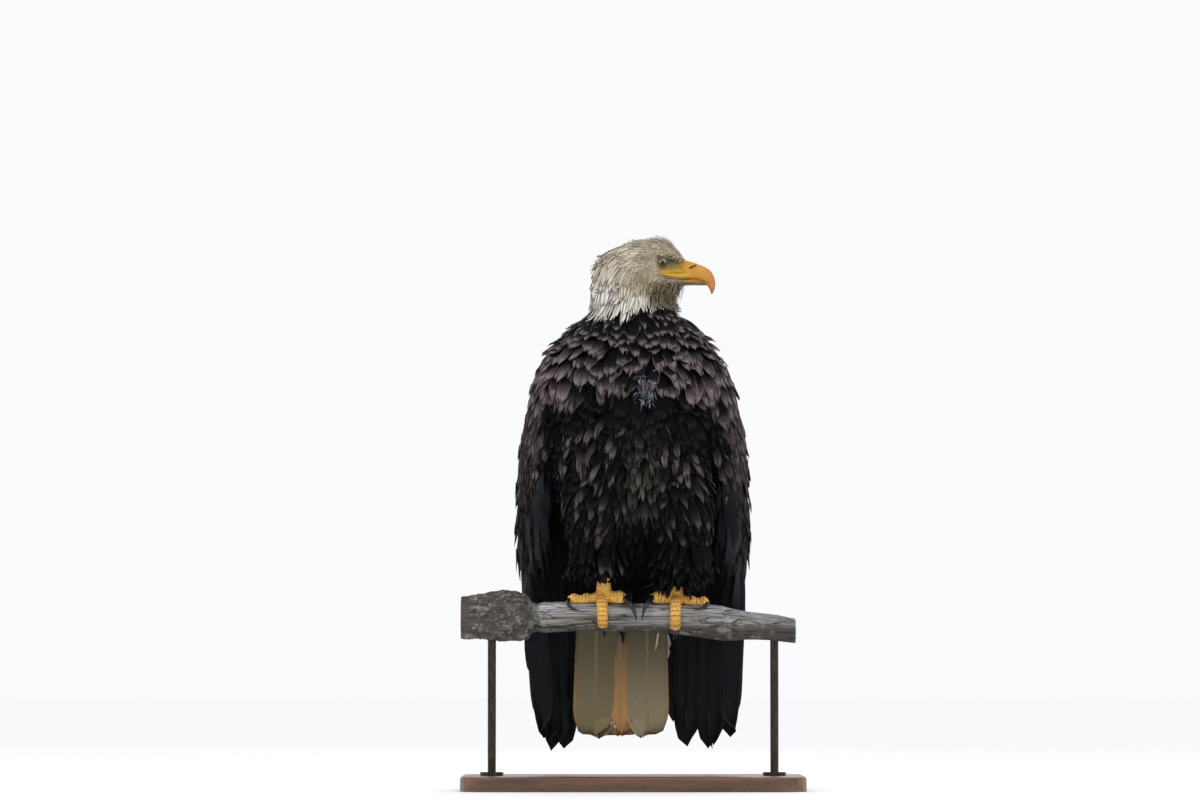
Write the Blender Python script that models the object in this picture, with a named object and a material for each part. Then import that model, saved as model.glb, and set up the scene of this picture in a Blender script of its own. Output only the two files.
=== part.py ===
"""Bald eagle, life size, standing on a cut length of branch held by a plain display stand.

Metres, +Z up, the floor at z = 0 and the origin under the middle of the base. The bird faces -Y
and turns its head to its own left, towards +X. "right" and "left" in a node's name are the bird's,
so its right side is at -X.

The soft parts are the outer form of the plumage, out to the tips of the feathers. Each one is a
loft through a few named sections, and neighbours are trimmed to meet with a thin gap.
"""

import math

import bmesh
import bpy
from mathutils import Euler, Matrix, Vector

# --- Driving sizes -------------------------------------------------------------------------

GAP = 0.0003  # left between two pieces that touch

BASE_SIZE = Vector((0.500, 0.270, 0.022))
BASE_CORNER = 0.045
BASE_EDGE = 0.004
ROD_RADIUS = 0.006
ROD_FLANGE = 0.017
ROD_FLANGE_HEIGHT = 0.005
ROD_REACH = 0.205  # each rod's distance from the middle

PERCH_Y = -0.035  # the branch runs along X at this depth

SIDE = {"right": -1.0, "left": 1.0}
FOOT_X = {"right": -0.045, "left": 0.062}
SHANK_X = {"right": -0.0425, "left": 0.0625}
SHANK_RADII = (0.0122, 0.0098, 0.0088, 0.0088)  # from the pad up into the plumage
KNEE_Z = 0.350  # the bare shank ends inside the thigh

HEAD_AT = Vector((0.0, -0.036, 0.765))  # eye level, on the axis of the neck
HEAD_TURN = math.radians(-4.0)  # past a full profile, towards the bird's front
HEAD_PLACE = Matrix.Translation(HEAD_AT) @ Matrix.Rotation(HEAD_TURN, 4, "Z")

EYE_AT = Vector((0.0420, 0.0235, 0.0005))
EYE_RADIUS = 0.0112

SOLE_SIZE = (0.0140, 0.0125, 0.0095)
SOLE_LIFT = 0.0094

# --- Sections ------------------------------------------------------------------------------

# Branch, by distance along X: height of its axis, radius.
PERCH_KEYS = (
    (-0.250, 0.249, 0.0300),
    (-0.215, 0.252, 0.0335),
    (-0.185, 0.254, 0.0370),
    (-0.158, 0.253, 0.0335),
    (-0.140, 0.252, 0.0240),
    (-0.100, 0.252, 0.0222),
    (-0.045, 0.252, 0.0205),
    (0.010, 0.251, 0.0212),
    (0.057, 0.249, 0.0220),
    (0.098, 0.246, 0.0245),
    (0.130, 0.243, 0.0252),
    (0.164, 0.240, 0.0212),
    (0.205, 0.236, 0.0190),
    (0.236, 0.232, 0.0178),
)

# Trunk and neck, by height: middle in X, half width, front and back in Y.
BODY_KEYS = (
    (0.264, -0.004, 0.030, 0.030, 0.064),
    (0.280, -0.003, 0.050, 0.012, 0.074),
    (0.305, -0.002, 0.066, -0.020, 0.082),
    (0.335, 0.000, 0.084, -0.056, 0.088),
    (0.370, 0.000, 0.101, -0.092, 0.094),
    (0.410, 0.000, 0.117, -0.114, 0.099),
    (0.455, 0.000, 0.127, -0.127, 0.103),
    (0.500, 0.000, 0.131, -0.134, 0.106),
    (0.540, 0.000, 0.131, -0.136, 0.105),
    (0.580, 0.000, 0.127, -0.132, 0.100),
    (0.620, 0.000, 0.117, -0.122, 0.088),
    (0.650, 0.000, 0.103, -0.112, 0.073),
    (0.670, 0.001, 0.089, -0.105, 0.059),
    (0.688, 0.004, 0.077, -0.099, 0.045),
    (0.705, 0.002, 0.070, -0.094, 0.033),
    (0.725, 0.004, 0.062, -0.088, 0.022),
    (0.745, 0.006, 0.050, -0.080, 0.010),
)
NECK_FROM = 0.668  # the trunk ends here

# Feathered part of a leg, by height: distance out from the foot's X, middle in Y, half width, half depth.
THIGH_LOW_KEYS = {
    "left": (
        (0.297, -0.001, -0.040, 0.0140, 0.0135),
        (0.308, 0.001, -0.043, 0.0230, 0.0220),
        (0.326, 0.003, -0.050, 0.0330, 0.0310),
    ),
    "right": (
        (0.315, 0.003, -0.045, 0.0140, 0.0140),
        (0.322, 0.004, -0.048, 0.0240, 0.0230),
        (0.332, 0.006, -0.053, 0.0340, 0.0320),
    ),
}
THIGH_KEYS = (
    (0.355, 0.007, -0.064, 0.0440, 0.0410),
    (0.395, 0.009, -0.076, 0.0500, 0.0480),
    (0.430, 0.007, -0.078, 0.0480, 0.0460),
    (0.455, 0.005, -0.074, 0.0360, 0.0340),
)

# Folded wing, by height: its front edge, outermost point and back edge (X out, Y), and its thickness.
# It wraps the flank and back above, and narrows to the blade of long flight feathers below.
WING_TOP_KEYS = (
    (0.674, (0.066, -0.040), (0.086, 0.000), (0.062, 0.034), 0.016),
    (0.662, (0.078, -0.055), (0.102, -0.001), (0.064, 0.052), 0.024),
    (0.645, (0.092, -0.069), (0.121, -0.002), (0.060, 0.074), 0.030),
    (0.615, (0.114, -0.082), (0.143, -0.002), (0.050, 0.098), 0.033),
    (0.575, (0.127, -0.088), (0.155, 0.002), (0.038, 0.112), 0.033),
    (0.530, (0.133, -0.087), (0.163, 0.006), (0.026, 0.120), 0.031),
    (0.480, (0.137, -0.080), (0.169, 0.012), (0.014, 0.125), 0.029),
    (0.420, (0.138, -0.062), (0.170, 0.020), (0.005, 0.128), 0.027),
    (0.360, (0.139, -0.034), (0.172, 0.028), (0.006, 0.129), 0.025),
    (0.310, (0.152, 0.002), (0.168, 0.048), (0.014, 0.128), 0.022),
    (0.270, (0.161, 0.030), (0.158, 0.066), (0.030, 0.124), 0.018),
)
WING_TIP_KEYS = {
    "left": (
        (0.232, (0.164, 0.056), (0.128, 0.090), (0.048, 0.117), 0.015),
        (0.190, (0.162, 0.070), (0.122, 0.096), (0.057, 0.112), 0.013),
        (0.150, (0.156, 0.078), (0.116, 0.099), (0.057, 0.110), 0.011),
        (0.110, (0.149, 0.087), (0.110, 0.101), (0.058, 0.109), 0.010),
        (0.080, (0.145, 0.092), (0.108, 0.103), (0.062, 0.108), 0.008),
        (0.055, (0.141, 0.096), (0.108, 0.104), (0.074, 0.107), 0.005),
    ),
    "right": (
        (0.232, (0.160, 0.056), (0.124, 0.090), (0.055, 0.117), 0.015),
        (0.190, (0.155, 0.070), (0.122, 0.096), (0.076, 0.112), 0.013),
        (0.150, (0.151, 0.079), (0.118, 0.099), (0.078, 0.110), 0.011),
        (0.110, (0.144, 0.088), (0.117, 0.101), (0.086, 0.109), 0.010),
        (0.080, (0.136, 0.094), (0.116, 0.103), (0.094, 0.108), 0.008),
        (0.052, (0.121, 0.098), (0.109, 0.104), (0.095, 0.107), 0.005),
    ),
}
WING_CORE = Vector((0.030, -0.010))  # the wing's thickness is measured towards here

# Slots between the tips of the flight feathers: top of the slot (X out, Z), its left and right foot in X out.
SLOT_FOOT_Z = 0.040
WING_SLOTS = {
    "left": (
        ((0.0730, 0.1130), 0.0320, 0.0793),
        ((0.1080, 0.1090), 0.0724, 0.1087),
        ((0.1330, 0.1030), 0.1140, 0.1568),
    ),
    "right": (
        ((0.1139, 0.0754), 0.0978, 0.1193),
        ((0.1275, 0.0800), 0.1175, 0.1425),
    ),
}
TIP_TRIMS = {
    "left": (((0.0565, 0.1340), -0.0200, 0.0739), ((0.1575, 0.1580), 0.1433, 0.2200)),
    "right": (((0.0880, 0.1120), -0.0200, 0.1000), ((0.1500, 0.1175), 0.1233, 0.2200)),
}

# Tail, by height: middle in X, half width, middle in Y, half thickness, how far its edges bow forward.
TAIL_KEYS = (
    (0.340, -0.006, 0.044, 0.046, 0.0140, 0.004),
    (0.290, -0.009, 0.056, 0.056, 0.0120, 0.006),
    (0.240, -0.013, 0.066, 0.066, 0.0090, 0.008),
    (0.190, -0.016, 0.0725, 0.074, 0.0065, 0.009),
    (0.140, -0.016, 0.0720, 0.081, 0.0052, 0.009),
    (0.112, -0.017, 0.0690, 0.085, 0.0045, 0.008),
    (0.098, -0.018, 0.0620, 0.087, 0.0040, 0.006),
    (0.085, -0.019, 0.0490, 0.089, 0.0034, 0.004),
    (0.076, -0.020, 0.0350, 0.090, 0.0028, 0.002),
    (0.071, -0.020, 0.0240, 0.0905, 0.0022, 0.001),
)
TAIL_SLOT = ((-0.0240, 0.0900), -0.0330, -0.0150)

# Feathered head, from nape to forehead, in the head's own frame (+X to the bill's tip, +Z up):
# distance along X, middle height, half height, half width.
HEAD_KEYS = (
    (-0.0680, -0.0430, 0.0090, 0.0110),
    (-0.0620, -0.0370, 0.0250, 0.0260),
    (-0.0500, -0.0330, 0.0420, 0.0390),
    (-0.0340, -0.0240, 0.0495, 0.0470),
    (-0.0120, -0.0150, 0.0510, 0.0495),
    (0.0150, -0.0090, 0.0470, 0.0465),
    (0.0340, -0.0060, 0.0435, 0.0410),
    (0.0490, -0.0060, 0.0405, 0.0345),
    (0.0610, -0.0080, 0.0340, 0.0270),
    (0.0710, -0.0105, 0.0255, 0.0205),
    (0.0775, -0.0125, 0.0180, 0.0165),
)

# Bill and cere, from the forehead to the tip: X and Z of the middle, how far the section is tipped
# down in degrees, half height, half width.
BILL_KEYS = (
    (0.0700, -0.0085, 0.0, 0.0150, 0.0172),
    (0.0770, -0.0085, 0.0, 0.0145, 0.0160),
    (0.0850, -0.0097, 4.0, 0.0132, 0.0143),
    (0.0930, -0.0118, 9.0, 0.0124, 0.0128),
    (0.1010, -0.0142, 19.0, 0.0115, 0.0112),
    (0.1075, -0.0188, 40.0, 0.0103, 0.0092),
    (0.1122, -0.0258, 68.0, 0.0080, 0.0068),
    (0.1146, -0.0325, 88.0, 0.0055, 0.0046),
    (0.1152, -0.0385, 99.0, 0.0030, 0.0027),
    (0.1146, -0.0440, 106.0, 0.0008, 0.0008),
)
CERE_EDGE = Vector((0.0945, 0.0, -0.0120))  # where the soft cere ends and the horn begins
NOSTRIL_AT = Vector((0.0872, 0.0136, -0.0035))
NOSTRIL_SIZE = (0.0042, 0.0030, 0.0011)
NOSTRIL_TILT = math.radians(-30.0)

LOWER_BILL_KEYS = (
    (0.0500, -0.0240, 0.0, 0.0070, 0.0165),
    (0.0660, -0.0250, 0.0, 0.0070, 0.0150),
    (0.0830, -0.0255, 0.0, 0.0055, 0.0112),
    (0.0980, -0.0270, 0.0, 0.0042, 0.0072),
    (0.1065, -0.0284, 0.0, 0.0026, 0.0040),
    (0.1095, -0.0292, 0.0, 0.0010, 0.0015),
)

# Yellow gape running back under the eye: a strip on each side, from the cere to its hind corner.
GAPE_PATH = ((0.0850, 0.0078, -0.0172), (0.0690, 0.0158, -0.0176), (0.0540, 0.0262, -0.0175), (0.0400, 0.0338, -0.0165))
GAPE_RADII = (0.0050, 0.0056, 0.0046, 0.0024)

# Brow shelf over each eye.
BROW_PATH = ((0.0220, 0.0355, 0.0150), (0.0400, 0.0352, 0.0138), (0.0580, 0.0262, 0.0105), (0.0755, 0.0135, 0.0050))
BROW_RADII = (0.0035, 0.0052, 0.0056, 0.0040)

# Hollow that holds the eye and runs forward under the brow.
LORE_AT = Vector((0.0510, 0.0390, -0.0010))
LORE_SIZE = (0.0240, 0.0085, 0.0100)
LORE_TURN = -0.46

# Toes and claws where they lie on the branch: distance from the foot's X towards the other foot,
# angle round the branch (90 on top, more towards the front), height of the middle over the wood, radius.
TOES = {
    "right": {
        "middle": (
            (-0.0017, 86, 0.0070, 0.0082),
            (-0.0010, 112, 0.0070, 0.0080),
            (-0.0004, 138, 0.0070, 0.0082),
            (0.0002, 164, 0.0070, 0.0076),
            (0.0008, 190, 0.0070, 0.0080),
            (0.0012, 210, 0.0068, 0.0070),
        ),
        "outer": (
            (0.0000, 92, 0.0080, 0.0078),
            (-0.0120, 97, 0.0070, 0.0070),
            (-0.0250, 102, 0.0060, 0.0070),
            (-0.0370, 105, 0.0056, 0.0068),
            (-0.0465, 108, 0.0060, 0.0064),
            (-0.0505, 110, 0.0060, 0.0040),
        ),
        "inner": (
            (0.0000, 90, 0.0085, 0.0092),
            (0.0110, 98, 0.0090, 0.0090),
            (0.0210, 104, 0.0092, 0.0094),
            (0.0310, 112, 0.0098, 0.0080),
            (0.0358, 118, 0.0104, 0.0050),
        ),
        "hind": (
            (0.0000, 94, 0.0075, 0.0082),
            (0.0060, 66, 0.0070, 0.0076),
            (0.0130, 38, 0.0070, 0.0080),
            (0.0190, 8, 0.0070, 0.0062),
        ),
    },
    "left": {
        "middle": (
            (0.0000, 86, 0.0070, 0.0082),
            (0.0000, 112, 0.0070, 0.0080),
            (0.0003, 138, 0.0070, 0.0082),
            (0.0006, 164, 0.0070, 0.0076),
            (0.0008, 190, 0.0070, 0.0080),
            (0.0010, 210, 0.0068, 0.0070),
        ),
        "outer": (
            (0.0000, 92, 0.0080, 0.0078),
            (-0.0120, 97, 0.0068, 0.0068),
            (-0.0240, 102, 0.0056, 0.0064),
            (-0.0360, 105, 0.0054, 0.0066),
            (-0.0450, 110, 0.0056, 0.0060),
            (-0.0482, 112, 0.0056, 0.0038),
        ),
        "inner": (
            (0.0000, 90, 0.0085, 0.0092),
            (0.0110, 96, 0.0094, 0.0092),
            (0.0220, 101, 0.0097, 0.0096),
            (0.0315, 108, 0.0102, 0.0082),
            (0.0365, 114, 0.0108, 0.0052),
        ),
        "hind": (
            (0.0000, 94, 0.0075, 0.0082),
            (-0.0010, 66, 0.0070, 0.0076),
            (-0.0020, 38, 0.0070, 0.0080),
            (-0.0030, 8, 0.0070, 0.0062),
        ),
    },
}
CLAWS = {
    "right": {
        "middle": (
            (0.0012, 206, 0.0066, 0.0042),
            (0.0022, 222, 0.0082, 0.0036),
            (0.0034, 237, 0.0094, 0.0022),
            (0.0046, 252, 0.0102, 0.0004),
        ),
        "outer": (
            (-0.0470, 112, 0.0062, 0.0036),
            (-0.0496, 126, 0.0062, 0.0033),
            (-0.0488, 139, 0.0052, 0.0026),
            (-0.0436, 150, 0.0036, 0.0016),
            (-0.0336, 155, 0.0014, 0.0003),
        ),
        "inner": (
            (0.0335, 118, 0.0110, 0.0050),
            (0.0388, 138, 0.0128, 0.0044),
            (0.0432, 152, 0.0134, 0.0036),
            (0.0466, 165, 0.0122, 0.0026),
            (0.0488, 179, 0.0088, 0.0015),
            (0.0494, 196, 0.0034, 0.0003),
        ),
        "hind": (
            (0.0190, 14, 0.0068, 0.0048),
            (0.0230, -12, 0.0095, 0.0040),
            (0.0270, -38, 0.0120, 0.0028),
            (0.0300, -60, 0.0140, 0.0015),
            (0.0320, -78, 0.0150, 0.0003),
        ),
    },
    "left": {
        "middle": (
            (0.0010, 206, 0.0066, 0.0042),
            (0.0016, 222, 0.0082, 0.0036),
            (0.0024, 237, 0.0094, 0.0022),
            (0.0034, 252, 0.0102, 0.0004),
        ),
        "outer": (
            (-0.0455, 113, 0.0056, 0.0036),
            (-0.0448, 125, 0.0052, 0.0032),
            (-0.0410, 134, 0.0042, 0.0026),
            (-0.0350, 139, 0.0030, 0.0016),
            (-0.0245, 142, 0.0012, 0.0003),
        ),
        "inner": (
            (0.0340, 114, 0.0114, 0.0050),
            (0.0385, 131, 0.0132, 0.0044),
            (0.0426, 147, 0.0136, 0.0036),
            (0.0460, 160, 0.0124, 0.0026),
            (0.0482, 174, 0.0092, 0.0015),
            (0.0492, 192, 0.0034, 0.0003),
        ),
        "hind": (
            (-0.0030, 14, 0.0068, 0.0048),
            (-0.0035, -12, 0.0095, 0.0040),
            (-0.0040, -38, 0.0125, 0.0028),
            (-0.0040, -62, 0.0150, 0.0015),
            (-0.0040, -80, 0.0165, 0.0003),
        ),
    },
}

# --- Tools ---------------------------------------------------------------------------------


def clear_scene():
    for obj in list(bpy.data.objects):
        bpy.data.objects.remove(obj)


def make_collection(name, hidden=False):
    made = bpy.data.collections.new(name)
    bpy.context.scene.collection.children.link(made)
    made.hide_render = hidden
    return made


def make_material(name, hex_colour, roughness, metallic=0.0):
    """A Principled material from an sRGB hex colour."""
    made = bpy.data.materials.new(name)
    made.use_nodes = True
    shader = made.node_tree.nodes["Principled BSDF"]
    channels = [int(hex_colour[k : k + 2], 16) / 255 for k in (0, 2, 4)]
    linear = [c / 12.92 if c <= 0.04045 else ((c + 0.055) / 1.055) ** 2.4 for c in channels]
    shader.inputs["Base Color"].default_value = (*linear, 1.0)
    shader.inputs["Roughness"].default_value = roughness
    shader.inputs["Metallic"].default_value = metallic
    return made


def add_object(name, mesh, material):
    """A smooth-shaded object of the eagle's collection."""
    mesh.name = name
    mesh.materials.clear()
    mesh.materials.append(material)
    mesh.shade_smooth()
    mesh.set_sharp_from_angle(angle=math.radians(50))
    obj = bpy.data.objects.new(name, mesh)
    PARTS.objects.link(obj)
    return obj


def interpolate(keys, steps):
    """Smooth Catmull-Rom rows through the keys, with this many steps between two of them."""
    flat = [flatten(key) for key in keys]
    rows = []
    for k in range(len(flat) - 1):
        before, start = flat[max(k - 1, 0)], flat[k]
        end, after = flat[k + 1], flat[min(k + 2, len(flat) - 1)]
        for step in range(steps):
            t = step / steps
            rows.append([catmull_rom(*four, t) for four in zip(before, start, end, after)])
    rows.append(flat[-1])
    return rows


def flatten(key):
    flat = []
    for value in key:
        flat.extend(value if isinstance(value, tuple) else (value,))
    return flat


def catmull_rom(before, start, end, after, t):
    slope_in, slope_out = (end - before) / 2, (after - start) / 2
    square, cube = t * t, t * t * t
    return (
        (2 * cube - 3 * square + 1) * start
        + (cube - 2 * square + t) * slope_in
        + (3 * square - 2 * cube) * end
        + (cube - square) * slope_out
    )


def loft(rings):
    """A closed mesh through rings of points, each ring with as many points, capped at both ends.

    It is a grid bent round until its sides meet.
    """
    around, along = len(rings[0]), len(rings) - 1
    bm = bmesh.new()
    verts = bmesh.ops.create_grid(bm, x_segments=around, y_segments=along, size=1.0)["verts"]
    verts.sort(key=lambda vert: (round(vert.co.y, 6), round(vert.co.x, 6)))
    for index, vert in enumerate(verts):
        row, column = divmod(index, around + 1)
        vert.co = rings[row][column % around]
    bmesh.ops.remove_doubles(bm, verts=bm.verts, dist=1e-7)
    bmesh.ops.holes_fill(bm, edges=[edge for edge in bm.edges if edge.is_boundary])
    bmesh.ops.recalc_face_normals(bm, faces=bm.faces)
    return to_mesh(bm)


def to_mesh(bm):
    bmesh.ops.triangulate(bm, faces=[f for f in bm.faces if len(f.verts) > 4])
    mesh = bpy.data.meshes.new("mesh")
    bm.to_mesh(mesh)
    bm.free()
    return mesh


def superellipse(segments, power, half_right, half_up, half_down=None):
    """Points (right, up) of a rounded section whose lower half may be deeper than its upper half."""
    points = []
    for k in range(segments):
        angle = 2 * math.pi * k / segments
        c, s = math.cos(angle), math.sin(angle)
        up = half_up if s > 0 or half_down is None else half_down
        points.append(
            (
                math.copysign(abs(c) ** (2 / power), c) * half_right,
                math.copysign(abs(s) ** (2 / power), s) * up,
            )
        )
    return points


def tube(path, radii, steps=2):
    """A tube mesh along a smooth path, from a curve with a bevel, with its caps welded."""
    rows = interpolate([(*point, radius) for point, radius in zip(path, radii)], steps)
    curve = bpy.data.curves.new("tube", "CURVE")
    curve.dimensions = "3D"
    curve.bevel_depth = 1.0
    curve.bevel_resolution = 2
    curve.use_fill_caps = True
    spline = curve.splines.new("POLY")
    spline.points.add(len(rows) - 1)
    for point, row in zip(spline.points, rows):
        point.co = (*row[:3], 1.0)
        point.radius = row[3]
    holder = bpy.data.objects.new("tube", curve)
    CUTTERS.objects.link(holder)
    mesh = evaluated_mesh(holder)
    bpy.data.objects.remove(holder)
    bm = bmesh.new()
    bm.from_mesh(mesh)
    bmesh.ops.remove_doubles(bm, verts=bm.verts, dist=1e-6)
    bmesh.ops.recalc_face_normals(bm, faces=bm.faces)
    bm.to_mesh(mesh)
    bm.free()
    return mesh


def ball(centre, size, turn=(0.0, 0.0, 0.0), segments=12, rings=8):
    """An ellipsoid mesh."""
    bm = bmesh.new()
    bmesh.ops.create_uvsphere(bm, u_segments=segments, v_segments=rings, radius=1.0)
    place = Matrix.Translation(centre) @ Euler(turn).to_matrix().to_4x4() @ Matrix.Diagonal((*size, 1.0))
    bmesh.ops.transform(bm, matrix=place, verts=bm.verts)
    return to_mesh(bm)


def prism(outline, low, high):
    """A prism along Y between two depths, over an outline of (X, Z) points."""
    return loft([[Vector((x, y, z)) for x, z in outline] for y in (low, high)])


def evaluated_mesh(obj):
    graph = bpy.context.evaluated_depsgraph_get()
    return bpy.data.meshes.new_from_object(obj.evaluated_get(graph))


def grown_copy(mesh, gap):
    """The mesh with each point moved out along its normal."""
    grown = mesh.copy()
    normals = [vert.normal.copy() for vert in grown.vertices]
    for vert, normal in zip(grown.vertices, normals):
        vert.co += normal * gap
    return grown


def volume(mesh):
    """The volume of a closed mesh, or None where it isn't closed."""
    bm = bmesh.new()
    bm.from_mesh(mesh)
    whole = bm.calc_volume(signed=True) if all(edge.is_manifold for edge in bm.edges) else None
    bm.free()
    return whole


def combine(obj, operation, mesh):
    """Joins a mesh to the object, or cuts it away.

    Faces that nearly coincide can break the result, so then the tool is nudged by a hair and used again.
    """
    start, tool = volume(obj.data), volume(mesh)
    least, most = (max(start, tool), start + tool) if operation == "UNION" else (start - tool, start)
    slack = 1e-9 + start * 2e-3
    cutter = bpy.data.objects.new("cutter", mesh)
    cutter.hide_render = True
    cutter.display_type = "WIRE"
    CUTTERS.objects.link(cutter)
    boolean = obj.modifiers.new(operation.lower(), "BOOLEAN")
    boolean.operation = operation
    boolean.solver = "EXACT"
    boolean.object = cutter
    for nudge in range(12):
        cutter.location = Vector((1.0, -0.6, 0.8)) * nudge * 5e-6
        bpy.context.view_layer.update()
        made = evaluated_mesh(obj)
        found = volume(made)
        if found is not None and least - slack <= found <= most + slack:
            break
    else:
        raise RuntimeError(f"{operation} failed on {obj.name}")
    obj.modifiers.clear()
    made.name = obj.data.name
    obj.data = made
    bpy.data.objects.remove(cutter)


def trim(obj, *solids):
    """Cuts the solids away from the object, leaving the gap between them."""
    for solid in solids:
        combine(obj, "DIFFERENCE", grown_copy(solid, GAP))


def halves(mesh, point, normal):
    """The mesh parted by a plane, as (the side the normal points to, the other side), a gap apart."""
    made = []
    for sign in (1.0, -1.0):
        bm = bmesh.new()
        bm.from_mesh(mesh)
        facing = Vector(normal).normalized() * sign
        bmesh.ops.bisect_plane(
            bm,
            geom=bm.verts[:] + bm.edges[:] + bm.faces[:],
            plane_co=Vector(point) + facing * GAP / 2,
            plane_no=facing,
            clear_inner=True,
        )
        bmesh.ops.holes_fill(bm, edges=[e for e in bm.edges if e.is_boundary])
        bmesh.ops.recalc_face_normals(bm, faces=bm.faces)
        made.append(to_mesh(bm))
    return made


def mirrored(points, sign):
    return [Vector((x, y * sign, z)) for x, y, z in points]


# --- Stand and branch ----------------------------------------------------------------------


def branch_at(x):
    """Height of the branch's axis and its radius at this X."""
    for (x0, *low), (x1, *high) in zip(PERCH_KEYS, PERCH_KEYS[1:]):
        if x <= x1:
            t = (x - x0) / (x1 - x0)
            return [a + (b - a) * t for a, b in zip(low, high)]
    return PERCH_KEYS[-1][1:]


def make_branch():
    """A bare grey branch with bark left on its thick end, sawn off square at both ends."""
    segments = 12
    bark_lumps, wood_lumps = 0.075, 0.028
    rings = []
    for x, height, radius in interpolate(PERCH_KEYS, 2):
        bark = min(max((-0.135 - x) / 0.02, 0.0), 1.0)
        lumps = wood_lumps + (bark_lumps - wood_lumps) * bark
        ring = []
        for k in range(segments):
            angle = 2 * math.pi * k / segments
            wave = math.sin(3 * angle + 41 * x) + 0.7 * math.sin(5 * angle - 67 * x + 1.0)
            reach = radius * (1 + lumps * wave)
            ring.append(Vector((x, PERCH_Y + reach * math.cos(angle), height + reach * math.sin(angle))))
        rings.append(ring)
    wood = loft(rings)
    add_object("perch", wood.copy(), WEATHERED_WOOD)
    return wood


def make_base():
    """A flat plate with round corners and an eased upper edge."""
    bm = bmesh.new()
    bmesh.ops.create_cube(bm, size=1.0)
    place = Matrix.Translation((0, 0, BASE_SIZE.z / 2)) @ Matrix.Diagonal((*BASE_SIZE, 1.0))
    bmesh.ops.transform(bm, matrix=place, verts=bm.verts)
    upright = [e for e in bm.edges if abs(e.verts[0].co.z - e.verts[1].co.z) > 1e-6]
    bmesh.ops.bevel(bm, geom=upright, offset=BASE_CORNER, segments=6, profile=0.5, affect="EDGES", material=-1)
    rim = [e for e in bm.edges if all(v.co.z > BASE_SIZE.z - 1e-6 for v in e.verts)]
    bmesh.ops.bevel(bm, geom=rim, offset=BASE_EDGE, segments=2, profile=0.5, affect="EDGES", material=-1)
    bmesh.ops.recalc_face_normals(bm, faces=bm.faces)
    return add_object("stand_base", to_mesh(bm), WALNUT)


def make_rod(side, branch):
    """A turned rod with a foot flange, screwed up into the branch."""
    x = SIDE[side] * ROD_REACH
    height, _ = branch_at(x)
    bottom = BASE_SIZE.z + GAP
    flange_top = bottom + ROD_FLANGE_HEIGHT
    profile = ((0, height), (ROD_RADIUS, height), (ROD_RADIUS, flange_top), (ROD_FLANGE, flange_top))
    profile += ((ROD_FLANGE, bottom), (0, bottom))
    bm = bmesh.new()
    verts = [bm.verts.new((r, 0, z)) for r, z in profile]
    edges = [bm.edges.new(pair) for pair in zip(verts, verts[1:])]
    bmesh.ops.spin(
        bm, geom=verts + edges, cent=(0, 0, 0), axis=(0, 0, 1), angle=2 * math.pi, steps=20, use_merge=True
    )
    bmesh.ops.remove_doubles(bm, verts=bm.verts, dist=1e-6)
    bmesh.ops.recalc_face_normals(bm, faces=bm.faces)
    bmesh.ops.translate(bm, verts=bm.verts, vec=(x, PERCH_Y, 0))
    rod = add_object(f"stand_rod_{side}", to_mesh(bm), DARK_METAL)
    trim(rod, branch)


# --- Body ----------------------------------------------------------------------------------


def body_form():
    """The trunk and the neck as one form."""
    rings = []
    for z, x, half_width, front, back in BODY_KEYS:
        middle = (front + back) / 2
        section = superellipse(26, 2.12, half_width, back - middle, middle - front)
        rings.append([Vector((x + right, middle + up, z)) for right, up in section])
    return loft(rings)


def thigh_form(side):
    """The feathered leg, down to the bare shank."""
    rings = []
    for z, out, y, half_width, half_depth in THIGH_LOW_KEYS[side] + THIGH_KEYS:
        section = superellipse(14, 2.1, half_width, half_depth)
        x = FOOT_X[side] + SIDE[side] * out
        rings.append([Vector((x + right, y + up, z)) for right, up in section])
    return loft(rings)


def bend(front, outer, back, count):
    """Points at even steps along a smooth curve through three points."""
    first, second = outer - front, back - outer
    reach = first.length
    whole = reach + second.length
    share = reach / whole
    slope = first / reach * (1 - share) + second / second.length * share
    points = []
    for k in range(count):
        along = whole * k / (count - 1)
        if along <= reach:
            start, end, leaving, arriving, t = front, outer, first, slope * reach, along / reach
        else:
            length = whole - reach
            start, end, leaving, arriving, t = outer, back, slope * length, second, (along - reach) / length
        square, cube = t * t, t * t * t
        point = start * (2 * cube - 3 * square + 1) + leaving * (cube - 2 * square + t)
        points.append(point + end * (3 * square - 2 * cube) + arriving * (cube - square))
    return points


def wrap(front, outer, back, thickness, count=9):
    """A section that wraps the body: out along a curve from front to back, and home inside it."""
    outside = bend(Vector(front), Vector(outer), Vector(back), count)
    inside = []
    for k, point in enumerate(outside):
        swell = math.sin(math.pi * (0.06 + 0.88 * k / (count - 1))) ** 0.5
        inside.append(point + (WING_CORE - point).normalized() * thickness * swell)
    return outside + inside[::-1]


def wing_form(side):
    """The folded wing, with its tip still whole."""
    rings = []
    for z, front, outer, back, thickness in WING_TOP_KEYS + WING_TIP_KEYS[side]:
        section = wrap(front, outer, back, thickness)
        rings.append([Vector((p.x * SIDE[side], p.y, z)) for p in section])
    return loft(rings)


def slot_form(slot, sign):
    """A wedge that opens the slot between two feather tips."""
    (x, z), foot_a, foot_b = slot
    outline = [(x * sign, z), (foot_a * sign, SLOT_FOOT_Z), (foot_b * sign, SLOT_FOOT_Z)]
    return prism(outline, 0.0, 0.2)


def tail_form():
    """The folded tail, with its tip still whole."""
    rings = []
    for z, x, half_width, y, half_thickness, bow in TAIL_KEYS:
        ring = []
        for right, up in superellipse(16, 2.6, half_width, half_thickness):
            ring.append(Vector((x + right, y + up - bow * (right / half_width) ** 2, z)))
        rings.append(ring)
    return loft(rings)


# --- Head ----------------------------------------------------------------------------------


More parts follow.
